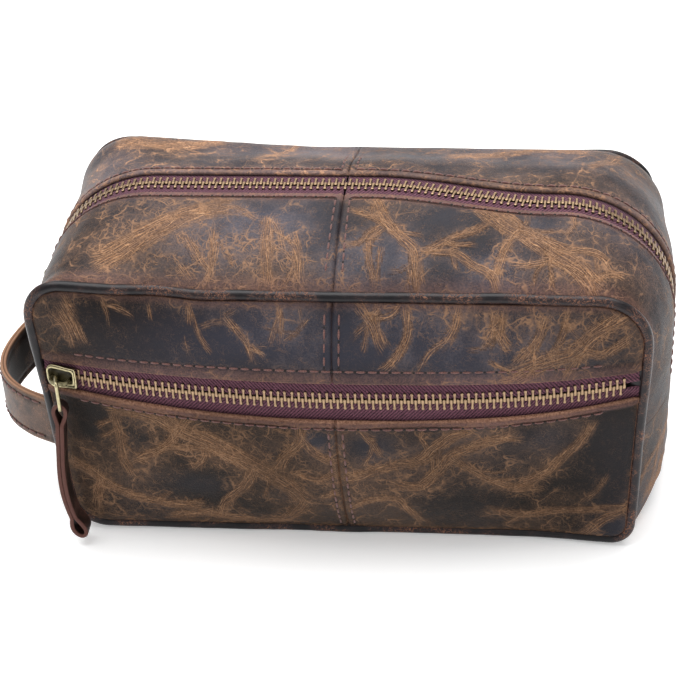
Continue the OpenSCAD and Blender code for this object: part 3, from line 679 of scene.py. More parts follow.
def shell_leather():
    """Waxed leather: dark smooth patches between bundles of fine pale cracks."""
    s = Shader("waxed_leather")
    place = s.position()
    names = ("wear", "slate_and_sheen", "painted_shade_and_tone", "edge", "rose")
    wear, slate_and_sheen, painted_shade_and_tone, edge, rose = (s.level(name) for name in names)
    cracks, bundle = 0.0, 0.0
    for index, name in enumerate(("fold_a", "fold_b", "fold_c")):
        across, along, mask = s.field(name)
        loose = s.join(s.times(across, 0.35), s.times(along, 0.16), 3.0 + index)
        ragged = s.plus(mask, s.scaled(s.noise(loose, 1.0, 2.0), 1.1, -0.55))
        ragged = s.times(ragged, s.ramp(mask, 0.0, 0.12))
        strong = s.times(s.strands(across, along, 1.2, 0.2, index), s.ramp(ragged, 0.1, 0.7))
        thin = s.strands(across, along, 0.7, 0.26, 7.0 + index)
        thin = s.times(thin, s.ramp(ragged, 0.0, 0.5, 0.0, 0.8))
        cracks = s.most(cracks, s.most(strong, thin))
        bundle = s.most(bundle, s.ramp(ragged, -0.1, 0.9))
    bend = s.noise(place, 0.22, output="Color")
    curly = s.vector("MULTIPLY_ADD", bend, (5.0, 5.0, 5.0), place)
    patchy = s.noise(place, 0.09, 3.0)
    worn = s.plus(wear, s.scaled(patchy, 1.4, -0.7), clamp=True)
    broken = s.ramp(s.noise(place, 0.22, 2.0), 0.4, 0.62)
    net = s.times(s.cells(curly, 0.1, 0.05), s.ramp(worn, 0.2, 0.7))
    mesh = s.times(s.cells(curly, 0.32, 0.1), s.ramp(worn, 0.4, 0.95, 0.0, 0.8))
    fine = s.times(s.lines(s.noise(curly, 0.9, 1.0), 0.035), 0.8)
    hairs = s.most(s.lines(s.noise(curly, 0.4, 1.0), 0.022), fine)
    hairs = s.times(hairs, s.scaled(worn, 0.85, 0.15))
    fuzz = s.most(hairs, s.most(net, mesh))
    fuzz = s.times(fuzz, s.scaled(broken, 0.75, 0.25))
    grain = s.ramp(s.noise(place, 1.3, 3.0, rough=0.7), 0.32, 0.68)
    cloud = s.noise(place, 0.04, 3.0)
    # Blue grey mixed in: partly the leather's own colour, partly a painted sheen
    dark = s.mix(slate_and_sheen, rgb(30, 24, 22), rgb(60, 61, 72))
    brown = s.mix(slate_and_sheen, rgb(94, 72, 57), rgb(112, 105, 111))
    lift = s.plus(s.times(worn, 0.85), s.scaled(cloud, 1.0, -0.68))
    swing = s.scaled(worn, 0.3, 0.2)
    lift = s.plus(lift, s.times(s.math("SUBTRACT", grain, 0.5), swing), clamp=True)
    colour = s.mix(lift, dark, brown)
    colour = s.mix(s.times(bundle, 0.55), colour, s.mix(grain, rgb(70, 48, 36), rgb(132, 94, 68)))
    colour = s.mix(s.times(fuzz, 0.8), colour, rgb(168, 128, 98))
    pale = s.mix(grain, rgb(172, 122, 84), rgb(214, 170, 132))
    colour = s.mix(s.times(cracks, 0.92), colour, pale)
    colour = s.mix(s.times(rose, s.ramp(grain, 0.0, 1.0, 0.35, 0.85)), colour, rgb(146, 104, 96))
    colour = s.mix(edge, colour, s.mix(grain, rgb(134, 90, 72), rgb(206, 158, 130)))
    # Painted shade: the colour is multiplied by the piece's painted shade, which also carries some random
    # tone
    colour = s.mix(1.0, colour, s.join(painted_shade_and_tone, painted_shade_and_tone, painted_shade_and_tone), blend="MULTIPLY")
    rough = s.scaled(s.most(cracks, fuzz), 0.2, 0.38)
    rough = s.plus(rough, s.times(worn, 0.14))
    pores = s.noise(place, 2.6, 2.0)
    height = s.scaled(cracks, 0.8, s.times(fuzz, 0.45))
    height = s.plus(height, s.times(grain, 0.2))
    height = s.plus(height, s.times(pores, 0.2))
    return s.finish(
        Base_Color=colour,
        Roughness=rough,
        Normal=s.bump(height, 0.25),
        Specular_IOR_Level=0.11,
    )


def plain_leather(name, dark, light, worn, gloss, wear_amount):
    """Leather for the piping, the strap and the pulls, with raw edges."""
    s = Shader(name)
    place = s.position()
    edge = s.level("edge")
    cloud = s.noise(place, 0.09, 3.0)
    grain = s.noise(place, 1.4, 3.0, rough=0.65)
    hairs = s.lines(s.noise(place, 0.7, 2.0, 0.8), 0.05)
    share = s.ramp(s.plus(cloud, s.scaled(grain, 0.4, -0.2)), 0.35, 0.7)
    colour = s.mix(share, dark, light)
    cracked = s.times(hairs, s.ramp(cloud, 0.45, 0.62, 0.0, wear_amount))
    colour = s.mix(cracked, colour, worn)
    raw = s.mix(grain, tuple(0.55 * v for v in worn), worn)
    colour = s.mix(edge, colour, raw)
    height = s.plus(s.times(grain, 0.5), s.times(cracked, 0.6))
    rough = s.plus(gloss, s.times(s.most(edge, cracked), 0.3))
    return s.finish(
        Base_Color=colour,
        Roughness=rough,
        Normal=s.bump(height, 0.2),
        Specular_IOR_Level=0.28,
    )


def woven_tape():
    """Plum zip tape with slanting ribs that meet the chain."""
    s = Shader("woven_tape")
    across, along, _ = s.field("weave")
    slant = s.plus(along, s.times(across, 0.9))
    rib = s.math("SINE", s.times(slant, 2 * math.pi / 1.5))
    yarn = s.math("SINE", s.times(across, 2 * math.pi / 0.55))
    fleck = s.noise(s.position(), 1.9, 3.0, rough=0.7)
    light = s.plus(s.scaled(rib, 0.26, 0.42), s.times(yarn, 0.14))
    light = s.plus(light, s.scaled(fleck, 1.7, -0.85), clamp=True)
    colour = s.mix(light, rgb(22, 8, 16), rgb(120, 74, 90))
    height = s.plus(s.times(rib, 0.5), s.times(yarn, 0.25))
    return s.finish(
        Base_Color=colour,
        Roughness=0.78,
        Normal=s.bump(height, 0.16),
        Specular_IOR_Level=0.2,
        Sheen_Weight=0.12,
        Sheen_Roughness=0.4,
    )


def antique_metal(name, dark, light, base_rough):
    """Metal with dark recesses and rubbed high places."""
    s = Shader(name)
    place = s.position()
    rubbed = s.level("rub")
    cloud = s.noise(place, 0.6, 3.0)
    share = s.math("MULTIPLY", rubbed, s.scaled(cloud, 0.9, 0.45), clamp=True)
    colour = s.mix(share, dark, light)
    scratch = s.noise(s.position(5, 0.8, 5), 1.0, 2.0)
    rough = s.scaled(scratch, 0.22, base_rough)
    return s.finish(
        Base_Color=colour,
        Metallic=1.0,
        Roughness=rough,
        Normal=s.bump(scratch, 0.03),
    )


def spun_thread():
    s = Shader("waxed_thread")
    twist = s.math("SINE", s.times(s.level("weave"), 2 * math.pi / 0.7))
    fleck = s.noise(s.position(), 2.5, 2.0)
    share = s.plus(s.scaled(twist, 0.2, 0.1), fleck, clamp=True)
    colour = s.mix(share, rgb(58, 32, 30), rgb(122, 78, 70))
    return s.finish(Base_Color=colour, Roughness=0.7, Normal=s.bump(twist, 0.1), Sheen_Weight=0.2)


# Nearly black: painted shadow inside the needle holes
def needle_hole_shadow():
    s = Shader("needle_hole_shadow")
    fleck = s.noise(s.position(), 2.0, 1.0)
    return s.finish(Base_Color=s.mix(fleck, rgb(14, 10, 10), rgb(34, 24, 22)), Roughness=0.9)


def woven_cloth(name, dark, light, yarn_size):
    """Plain weave cloth."""
    s = Shader(name)
    place = s.position()
    x, y, z = s.split(place)
    warp = s.math("SINE", s.times(s.plus(x, y), math.pi / yarn_size))
    weft = s.math("SINE", s.times(s.plus(z, y), math.pi / yarn_size))
    weave = s.times(warp, weft)
    fleck = s.noise(place, 0.8, 3.0)
    share = s.plus(s.times(weave, 0.25), fleck, clamp=True)
    return s.finish(
        Base_Color=s.mix(share, dark, light),
        Roughness=0.85,
        Normal=s.bump(weave, 0.12),
        Sheen_Weight=0.3,
    )


LEATHER = shell_leather()
PIPING = plain_leather("piping_leather", rgb(12, 9, 13), rgb(42, 31, 33), rgb(140, 94, 70), 0.33, 0.85)
STRAP = plain_leather("strap_leather", rgb(44, 33, 28), rgb(92, 71, 60), rgb(158, 120, 94), 0.45, 0.6)
# The inner face of the strap: the same leather painted darker, as painted shade between the strap and the
# bag
STRAP_INSIDE_PAINTED_SHADE = plain_leather("strap_inside_painted_shade", rgb(20, 15, 12), rgb(52, 39, 32), rgb(150, 112, 88), 0.5, 0.4)
PULL = plain_leather("pull_leather", rgb(26, 18, 17), rgb(60, 40, 34), rgb(96, 60, 52), 0.42, 0.5)
TAPE = woven_tape()
TEETH = antique_metal("antique_teeth", rgb(40, 28, 22), rgb(164, 138, 110), 0.3)
BRASS = antique_metal("antique_brass", rgb(44, 40, 25), rgb(196, 186, 148), 0.24)
THREAD, HOLE_SHADOW = spun_thread(), needle_hole_shadow()
LINING = woven_cloth("lining_cloth", rgb(120, 102, 76), rgb(190, 170, 138), 0.6)
CORD = woven_cloth("cotton_cord", rgb(170, 160, 140), rgb(226, 218, 200), 0.5)

# ---------------------------------------------------------------- leather pieces


def spots(chart, listed):
    """Sum of soft round patches (centre u, v, radius u, v, amount) over the chart."""
    total = np.zeros(chart.shape[:-1])
    for u, v, ru, rv, amount in listed:
        away = ((chart[..., 0] - u) / ru) ** 2 + ((chart[..., 1] - v) / rv) ** 2
        total += amount * np.exp(-away)
    return total


def leather_piece(
    name, surface, chart, folds, border, relief, sink, seed, *, wear, slate_and_sheen, painted_shade_and_tone, raw=1.0, rose=0.0
):
    """One cut of leather over a grid of surface points. border is how far each point
    is from the nearest sewn edge, relief the height of the soft waves, and sink how
    deep seams press in. The rest says how it is coloured: wear brings out brown; blue grey
    comes in, partly the leather's own and partly a painted sheen; rose brings red; a painted
    shade for how the light falls on the piece, with some random tone, multiplies the colour;
    and raw is for the cut edge."""
    fields, near = fold_fields(chart, folds)
    masks = fields[..., 2].max(0)
    free = ramp(border, 4.5, 16)
    height = relief * free * (0.65 * noise(surface, 34, seed) + 0.3 * noise(surface, 15, seed + 1))
    height += 0.3 * masks * ramp(border, 0, 4) + 0.12 * noise(surface, 5, seed + 2)
    out = normals_of(surface)
    outer = surface + out * (height - sink)[..., None]
    outer[..., 2] = np.maximum(outer[..., 2], 0.04)
    inner = surface - out * LEATHER_T
    inner[..., 2] = np.maximum(inner[..., 2], 0.9)
    verts, faces, ids, edge = slab(outer, inner)
    flat = lambda values: values.reshape(-1, *values.shape[2:])[ids]
    attributes = {
        "fold_a": flat(fields[0]),
        "fold_b": flat(fields[1]),
        "fold_c": flat(fields[2]),
        "wear": flat(np.clip(wear + 0.55 * near, 0, 1)),
        # Blue grey, partly the leather's own and partly a painted sheen, varied by noise
        "slate_and_sheen": flat(np.clip(slate_and_sheen + 0.25 * noise(surface, 28, seed + 5), 0, 1)),
        # Painted shade for how the light falls on the piece, varied by a random tone
        "painted_shade_and_tone": flat(painted_shade_and_tone * (1 + 0.25 * noise(surface, 24, seed + 7))),
        "edge": edge * raw,
        "rose": flat(np.clip(rose + 0 * border, 0, 1)),
    }
    make(name, verts, faces, "bag", "shell_leather", LEATHER, **attributes)


# Gap of the centre seam, and how much closer the filled panels lie to the piping
SEAM_GAP, RIM_SPREAD = 0.15, 0.9
# Painted shade and light: each piece's colour is multiplied by one of these for how the light falls on it,
# the lower front darkest and the back top strip lightest
UPPER_PAINTED_SHADE, LOWER_PAINTED_SHADE, BACK_PAINTED_SHADE = 0.6, 0.5, 0.6
TOP_PAINTED_SHADE, BACK_TOP_PAINTED_LIGHT, SIDE_PAINTED_SHADE = 0.74, 1.05, 0.8
STITCH_SINK = 0.35


def stitch_line(distance):
    """Depth that a row of stitches pulls the leather down, at a distance from it."""
    return STITCH_SINK * np.exp(-((distance / 0.9) ** 2))


def centre_seam(distance):
    """Sunk seam with a raised turned edge on each side."""
    return 0.9 * np.exp(-((distance / 0.7) ** 2)) - 0.25 * np.exp(-(((distance - 1.6) / 0.9) ** 2))


def panel_grid(face, side, low, high, pitch):
    """Points of a half panel, and how far each is from the centre seam, the piped
    rim, and the low and high edges."""
    u = np.linspace(0, 1, int(TOP_HALF_W / pitch))[:, None]
    tall = float(np.max(high(u) - low(u)))
    v = np.linspace(0, 1, int(tall / pitch))[None, :]
    v = v - 0.35 / (2 * math.pi) * np.sin(2 * math.pi * v)
    z = low(u) + (high(u) - low(u)) * v
    edge_x = half_width(side, face, RIM_SPREAD - RIM_INSET, z)
    x = SEAM_GAP + (edge_x - SEAM_GAP) * u
    points = panel(face, side * x, z)
    return points, x, (edge_x - x), z - low(u), high(u) - z


FRONT_WEAR = [
    (-104, 106, 12, 8, 0.1), (-84, 104, 22, 12, -0.6), (-92, 40, 22, 22, 0.35),
    (-30, 52, 30, 14, 0.45), (-22, 22, 22, 12, 0.2), (-56, 28, 18, 12, -0.5),
    (-104, 60, 9, 14, -0.5), (-8, 62, 7, 5, -0.5), (-85, 58, 6, 8, -0.2),
    (40, 52, 26, 16, 0.3), (18, 38, 14, 12, 0.4), (88, 104, 26, 14, 0.35), (112, 50, 12, 34, -0.8),
    (14, 60, 8, 6, -0.5), (52, 24, 16, 8, -0.3), (88, 62, 12, 10, -0.2), (112, 10, 8, 8, -0.4),
    (-45, 104, 24, 10, -0.25), (5, 104, 14, 12, -0.5), (45, 100, 20, 8, -0.3), (70, 40, 16, 10, 0.2),
]
# Blue grey patches on the front (centre u, v, radius u, v, amount), partly the leather's own colour and
# partly a painted sheen, strongest along the top of the upper panel
FRONT_SLATE_AND_SHEEN = [
    (40, 104, 50, 16, 0.8), (-35, 105, 45, 14, 0.75), (-85, 108, 20, 12, 0.05), (112, 50, 10, 34, 0.1),
    (14, 58, 9, 8, 0.5), (-8, 62, 7, 6, 0.7), (92, 96, 24, 10, 0.35), (-60, 32, 14, 8, 0.3),
    (84, 60, 10, 8, 0.3), (112, 10, 8, 8, 0.5), (-25, 28, 12, 8, 0.3),
]
TOP_WEAR = [
    (-70, -30, 34, 16, 0.4), (-30, -42, 30, 12, 0.4), (-40, -24, 14, 7, -0.3), (20, -42, 8, 10, -0.4),
    (44, -22, 18, 8, -0.4), (78, -26, 12, 8, -0.5), (56, -36, 8, 6, -0.3), (80, -40, 8, 5, -0.4),
    (-8, -26, 12, 14, -0.2), (100, -40, 20, 16, 0.3), (0, 36, 60, 16, 0.1), (-95, 30, 26, 20, 0.1),
]
# Blue grey patches on the top strips (centre u, v, radius u, v, amount), partly the leather's own colour
# and partly a painted sheen
TOP_SLATE_AND_SHEEN = [
    (22, -42, 14, 12, 0.8), (4, -42, 10, 12, 0.5), (-36, -24, 16, 8, 0.6), (-12, -28, 16, 16, 0.5),
    (60, -48, 14, 8, 0.5), (78, -28, 12, 8, 0.5), (44, -22, 16, 8, 0.3), (-20, 36, 34, 12, 0.5),
    (60, 34, 30, 12, 0.3), (-100, 20, 20, 16, 0.3), (-48, -40, 18, 12, 0.4), (110, -20, 16, 14, 0.5),
]


def panel_relief(border_rim, border_seam):
    """Depth of the rim that rolls in beside the piping, and of the centre seam."""
    roll = 0.8 * np.clip(1 - border_rim / 3.0, 0, 1) ** 2
    return roll + centre_seam(border_seam)


def seam_haze(*distances):
    """Extra wear beside the sewn edges."""
    return 0.55 * np.exp(-np.min(np.broadcast_arrays(*distances), 0) / 3.0)


def front_pieces():
    folds = branches(FRONT_FOLDS, np.random.default_rng(2))
    for side, word in ((-1, "left"), (1, "right")):
        low = lambda u: slot_edge(True, u)
        high = lambda u: PANEL_TOP + RIM_SPREAD + 0 * u
        grid, seam, rim, below, above = panel_grid(-1, side, low, high, 0.8)
        chart = grid[..., (0, 2)]
        sink = panel_relief(least(rim, above), seam)
        sink = sink + stitch_line(below - UPPER_STITCH) + stitch_line(seam - SEAM_STITCH_X)
        leather_piece(
            f"front_upper_{word}", grid, chart, folds, least(seam, rim, below, above), 0.6, sink, 11,
            wear=0.3 + spots(chart, FRONT_WEAR) + seam_haze(above, rim) + 0.3 * np.exp(-below / 4),
            slate_and_sheen=0.15 + spots(chart, FRONT_SLATE_AND_SHEEN),
            rose=0.4 * ramp(above, 3, 0) + 0.45 * ramp(below, 6, 1),
            painted_shade_and_tone=UPPER_PAINTED_SHADE, raw=0.3,
        )

        low = lambda u: PANEL_BASE - RIM_SPREAD + 0 * u
        high = lambda u: slot_edge(False, u)
        grid, seam, rim, below, above = panel_grid(-1, side, low, high, 0.8)
        chart = grid[..., (0, 2)]
        sink = panel_relief(least(rim, below), seam)
        sink = sink + stitch_line(above - LOWER_STITCH) + stitch_line(seam - SEAM_STITCH_X)
        sink = sink - 0.9 * ramp(above, 5, 0)
        leather_piece(
            f"front_lower_{word}", grid, chart, folds, least(seam, rim, below), 1.5, sink, 11,
            wear=0.42 + spots(chart, FRONT_WEAR) + seam_haze(below, rim, above, seam),
            slate_and_sheen=0.05 + spots(chart, FRONT_SLATE_AND_SHEEN),
            rose=0.8 * ramp(above, 3.4, 1.2),
            painted_shade_and_tone=LOWER_PAINTED_SHADE,
        )


def back_pieces():
    folds = wandering_folds(np.random.default_rng(5), 46, (-110, 12), (110, 108))
    for side, word in ((-1, "left"), (1, "right")):
        low = lambda u: PANEL_BASE - RIM_SPREAD + 0 * u
        high = lambda u: PANEL_TOP + RIM_SPREAD + 0 * u
        grid, seam, rim, below, above = panel_grid(1, side, low, high, 1.0)
        rolled = least(rim, above, below)
        sink = panel_relief(rolled, seam) + stitch_line(seam - SEAM_STITCH_X)
        leather_piece(
            f"back_{word}", grid, grid[..., (0, 2)], folds, least(seam, rolled), 1.4, sink, 21,
            wear=0.35 + 0.5 * noise(grid, 30, 3) + seam_haze(above, rim, below),
            slate_and_sheen=0.3 + 0.6 * noise(grid, 40, 4),
            painted_shade_and_tone=BACK_PAINTED_SHADE, raw=0.3,
        )


# Profile of a gusset edge beside the piping: depth from the middle, and offset
DIP = [(44, 0), (50, -0.25), (53.5, -0.85), (55.8, -1.8), (56.9, -3.2), (57.1, -4.6), (57.1, -6)]
RIM_DEPTH = 56


def edge_profile(start, pitch):
    """Depths and offsets from start out to the seam, evenly spaced."""
    curve = smooth_line([(start, 0), (36, 0)] + DIP, 0.4)
    length = run_of(curve)
    even = np.linspace(0, length[-1], int(length[-1] / pitch))
    return np.interp(even, length, curve[:, 0]), np.interp(even, length, curve[:, 1])


def top_pieces():
    folds = branches(TOP_FOLDS, np.random.default_rng(4))
    depth, offset = edge_profile(TOP_SLOT, 0.8)
    for side, word in ((-1, "left"), (1, "right")):
        s = side * even_steps(JOINT_S + 0.004, TOP_MIDDLE_S - 0.001, 0.8, 0.4)
        for face, where in ((-1, "front"), (1, "back")):
            q = face * depth / SEAM_Y
            grid = shell(s[:, None], q[None, :], offset[None, :])
            chart = np.stack([top_length(s[:, None], q[None, :]), grid[..., 1]], -1)
            seam = np.abs(chart[..., 0])
            slot = depth[None, :] - TOP_SLOT + 0 * s[:, None]
            rim = np.maximum(0, RIM_DEPTH - depth)[None, :] + 0 * s[:, None]
            joint = 150 * np.linspace(0, 1, len(s))[:, None]
            sink = centre_seam(seam) + stitch_line(slot - TOP_STITCH) + stitch_line(seam - SEAM_STITCH_X)
            sink = sink + (0.8 if face < 0 else -0.2) * ramp(slot, 6, 0)
            if face > 0:
                sink = sink - 2.2 * bell(depth, 46, 9)[None, :] * ramp(np.abs(s), 2.6, 3.6)[:, None]
            leather_piece(
                f"top_{where}_{word}", grid, chart, folds, least(seam, slot, rim, joint), 1.2, sink, 31,
                wear=0.4 + spots(chart, TOP_WEAR) + seam_haze(rim / 1.6, slot / 1.4),
                slate_and_sheen=0.3 + spots(chart, TOP_SLATE_AND_SHEEN),
                rose=(0.7 if face < 0 else 0.15) * ramp(slot, 7, 1) + 0.45 * ramp(rim, 9, 0),
                # Painted light and shade: the back strip lighter than the front one, and its left half
                # lighter than its right
                painted_shade_and_tone=TOP_PAINTED_SHADE if face < 0 else BACK_TOP_PAINTED_LIGHT - 0.12 * side, raw=0.0,
            )


def base_piece():
    depth, offset = edge_profile(0, 1.15)
    s = even_steps(-JOINT_S + 0.004, JOINT_S - 0.004, 1.15)
    q = np.concatenate([-depth[:0:-1], depth]) / SEAM_Y
    grid = shell(s[:, None], q[None, :], np.concatenate([offset[:0:-1], offset])[None, :])
    run = run_of(shell(s, 0.0))
    from_middle = run - run[-1] / 2
    chart = np.stack(np.broadcast_arrays(from_middle[:, None], q[None] * SEAM_Y), -1)
    folds = wandering_folds(np.random.default_rng(9), 60, (-190, -50), (190, 50))
    rim = np.maximum(0, RIM_DEPTH - np.abs(q) * SEAM_Y)[None, :] + 0 * s[:, None]
    border = least(rim, (run[-1] / 2 - np.abs(from_middle))[:, None])
    leather_piece(
        "base_gusset", grid, chart, folds, border, 1.6 * ramp(grid[..., 2], 0.5, 14), 0 * border, 41,
        wear=0.4 + 0.4 * noise(grid, 30, 6) + seam_haze(rim),
        slate_and_sheen=0.35 + 0.5 * noise(grid, 40, 7),
        painted_shade_and_tone=SIDE_PAINTED_SHADE, raw=0.3,
    )


# ---------------------------------------------------------------- piping


def piping_piece(face, name, seed, radius, lift):
    """Leather folded round a cord, its two cut edges running down into the seam."""
    left, right = even_steps(-TOP_MIDDLE_S, -0.001, 1.1, face), even_steps(0.001, TOP_MIDDLE_S, 1.1, face)
    s = np.concatenate([left, right])
    line = shell(s, float(face))
    wave = np.stack([0.4 * noise(line, 22, seed), 0.45 * noise(line, 17, seed + 1)], -1)
    wave[:, 1] *= ramp(line[:, 2], 4, 16)
    swell = 1 + 0.035 * noise(line, 4, seed + 2) + 0.03 * noise(line, 12, seed + 3)
    cord = name.endswith("cord")
    turns = np.linspace(-math.pi / 2 + 0.32, 3 * math.pi / 2 - 0.32, 17)
    depth = np.concatenate([[0.6, 0.6], radius * np.cos(turns), [-0.6, -0.6]])
    rise = np.concatenate([[-ALLOWANCE, -3.0], lift + radius * np.sin(turns), [-3.0, -ALLOWANCE]])
    round_part = np.concatenate([[0, 0], np.ones(17), [0, 0]])
    if cord:
        depth, rise, round_part = depth[2:-2], rise[2:-2], round_part[2:-2]
    swollen = 1 + (swell[:, None] - 1) * round_part
    ring = shell(s[:, None], float(face), rise[None] * swollen + wave[:, 1:] * round_part)
    ring[..., 1] += face * (depth[None] * swollen + wave[:, :1] * round_part)
    ring[..., 2] = np.maximum(ring[..., 2], 0.15)
    faces = tube_faces(*ring.shape[:2], True)
    slot, material = ("piping_cord", CORD) if cord else ("piping_leather", PIPING)
    make(name, ring.reshape(-1, 3), faces if face > 0 else faces[:, ::-1], "bag", slot, material)


# ---------------------------------------------------------------- zips


def stacked(rings, flip=False):
    """Faces of a solid through rings of points, one above the other, with both ends
    closed. flip turns them inside out."""
    count = len(rings[0])
    first, last = list(range(count)), list(range((len(rings) - 1) * count, len(rings) * count))
    faces = [first if flip else first[::-1]]
    for k in range(len(rings) - 1):
        for j in range(count):
            a, b = k * count + j, k * count + (j + 1) % count
            faces.append([a, a + count, b + count, b] if flip else [a, b, b + count, a + count])
    return faces + [last[::-1] if flip else last]


def tape_piece(name, points_at, low, high, length):
    """Woven tape from one side of the chain outwards. points_at(along, across)."""
    along = np.linspace(0, 1, int(length / 0.5))
    across = np.linspace(low, high, int(abs(high - low) / 0.5))
    a, c = np.meshgrid(along, across, indexing="ij")
    outer = points_at(a, c)
    out = normals_of(outer)
    rib = np.sin(2 * math.pi * (a * length + 0.9 * np.abs(c)) / 1.5)
    cord = 0.35 * np.exp(-((np.abs(c) - 2.2) / 1.2) ** 2)
    outer = outer + out * (0.07 * rib + cord)[..., None]
    inner = outer - out * TAPE_T
    verts, faces, ids, _ = slab(outer, inner, 0.6, 1)
    weave = np.stack([np.abs(c), a * length, 0 * a], -1).reshape(-1, 3)[ids]
    make(name, verts, faces, "bag", "zip_tape", TAPE, weave=weave)


def tooth_mesh():
    """One zip tooth: legs gripping the tape at +y and a head past the middle.
    The plan is drawn at three heights, so that its top edges are rounded."""
    side = np.array([
        (0.4, 3.9), (0.6, 3.6), (0.6, 3.1), (0.52, 2.6), (0.5, 1.3), (0.66, 0.9),
        (0.7, -0.35), (0.5, -0.85), (0.2, -0.95),
    ])
    plan = np.concatenate([side, side[::-1] * (-1, 1)])
    middle = np.array([0, 1.3])
    levels = [(-TOOTH_H, 0.9), (-TOOTH_H + 0.2, 1.0), (-0.35, 1.0), (-0.1, 0.86), (0.0, 0.6)]
    rings = []
    for z, scale in levels:
        ring = middle + (plan - middle) * (scale, 1 - (1 - scale) * 0.32)
        rings.append(np.column_stack([ring, np.full(len(ring), z)]))
    rub = np.repeat([0.0, 0.0, 0.25, 1.0, 1.0], len(plan))
    return np.concatenate(rings) - (0, 0, TOOTH_TOP), stacked(rings, True), rub


def placed(verts, matrix):
    """The vertices moved by a matrix."""
    m = np.array(matrix)
    return verts @ m[:3, :3].T + m[:3, 3]


def top_line(side, length):
    """Point on the main zip's middle line, and its normal's angle in radians."""
    xt, zt, rt, _, _, _, lean = (float(v) for v in outline(side, 0.0))
    if length < xt:
        return side * length, zt + rt, math.pi / 2
    a = max(lean, math.pi / 2 - (length - xt) / rt)
    down = max(0, length - xt - rt * (math.pi / 2 - lean))
    x = xt + rt * math.cos(a) + down * math.sin(lean)
    return side * x, zt + rt * math.sin(a) - down * math.cos(lean), a


def on_top_zip(side, length):
    """Place on the main zip at that length from the top's middle: x along the chain,
    z out of the bag."""
    x, z, a = top_line(side, length)
    yaw = Matrix.Rotation(-math.atan(drift_at(x + 0.5) - drift_at(x - 0.5)), 4, "Z")
    lean = Matrix.Rotation(side * (math.pi / 2 - a), 4, "Y")
    return Matrix.Translation((x, -drift_at(x), z)) @ lean @ yaw


def on_pocket_zip(angle):
    """The same on the pocket zip, at that angle on its arc."""
    turn = Matrix.Rotation(angle, 4, "Z") @ Matrix.Translation((0, -ZIP_R, 0))
    return Matrix.Translation((0, ZIP_AXIS_Y, POCKET_ZIP_Z)) @ turn @ Matrix.Rotation(math.pi / 2, 4, "X")


def side_length(side, s):
    """Arc length from the top's middle down to position s on the main zip."""
    return float(abs(top_length(np.array(side * s), np.array(0.0))))


def over_top(pitch):
    """Values of s from the left end of the main zip over the top to its right end."""
    half = even_steps(JOINT_S + 0.01, TOP_MIDDLE_S, pitch)
    return np.concatenate([-half, half[::-1]])


MAIN_SLIDER_L = side_length(-1, 3) - 1
CHAIN_RIGHT_L = side_length(1, JOINT_S) - 4
SLIDER_X, CHAIN_END_X = -111.8, 114
POCKET_START, POCKET_END = math.asin(SLIDER_X / ZIP_R), math.asin(CHAIN_END_X / ZIP_R)
TAPE_OVERRUN = 0.8


def teeth_piece(name, places, face, rng):
    """One tooth at each place, all on the same side of the chain."""
    verts, faces, rub = tooth_mesh()
    rub = rub * (0.55 + 0.45 * ramp(np.abs(verts[:, 1] - 1.2), 0.9, 1.9))
    verts = verts * (1, face, 1)
    faces = faces if face > 0 else [f[::-1] for f in faces]
    parts = []
    for place in places:
        turn = Matrix.Rotation(rng.normal(0, 0.02), 4, "Z")
        parts.append((placed(verts, place @ turn @ Matrix.Translation((0, 0, rng.normal(0, 0.04)))), faces))
    make(name, *merged(parts), "bag", "zip_teeth", TEETH, smooth=False, rub=np.tile(rub, len(places)))


def zips():
    rng = np.random.default_rng(3)
    step = TOOTH_PITCH / ZIP_R
    for face, word in ((1, "upper"), (-1, "lower")):
        first = POCKET_START + (0.5 if face > 0 else 1.0) * step
        count = int((POCKET_END - first) / step)
        places = [on_pocket_zip(first + k * step) for k in range(count + 1)]
        teeth_piece(f"pocket_zip_teeth_{word}", places, face, rng)
        half = ZIP_HALF + TAPE_OVERRUN
        tape_piece(
            f"pocket_zip_tape_{word}",
            lambda a, c: panel(-1, (2 * a - 1) * half, POCKET_ZIP_Z + c, TAPE_TOP),
            face * TAPE_INNER, face * TAPE_W, 2 * half,
        )
    s = over_top(1.0)
    total = side_length(-1, JOINT_S) + side_length(1, JOINT_S)
    for face, word in ((-1, "front"), (1, "back")):
        shift = 0.5 if face > 0 else 0.0
        left = int((MAIN_SLIDER_L - 0.6) / TOOTH_PITCH - shift)
        right = int(CHAIN_RIGHT_L / TOOTH_PITCH)
        places = [on_top_zip(-1, (k + shift) * TOOTH_PITCH) for k in range(left + 1)]
        places += [on_top_zip(1, (k - shift) * TOOTH_PITCH) for k in range(1, right + 1)]
        teeth_piece(f"top_zip_teeth_{word}", places, face, rng)
        at = lambda a, c: shell(np.interp(a, np.linspace(0, 1, len(s)), s), c / SEAM_Y, -TAPE_TOP)
        tape_piece(f"top_zip_tape_{word}", at, face * TAPE_INNER, face * TAPE_W, total)


# ---------------------------------------------------------------- stitching

THREAD_R, THREAD_RISE, THREAD_SINK = 0.46, 0.42, 0.32
# Size of the dark domes of painted shadow in the needle holes
HOLE_SHADOW_R, HOLE_SHADOW_DOME = 0.62, 0.16


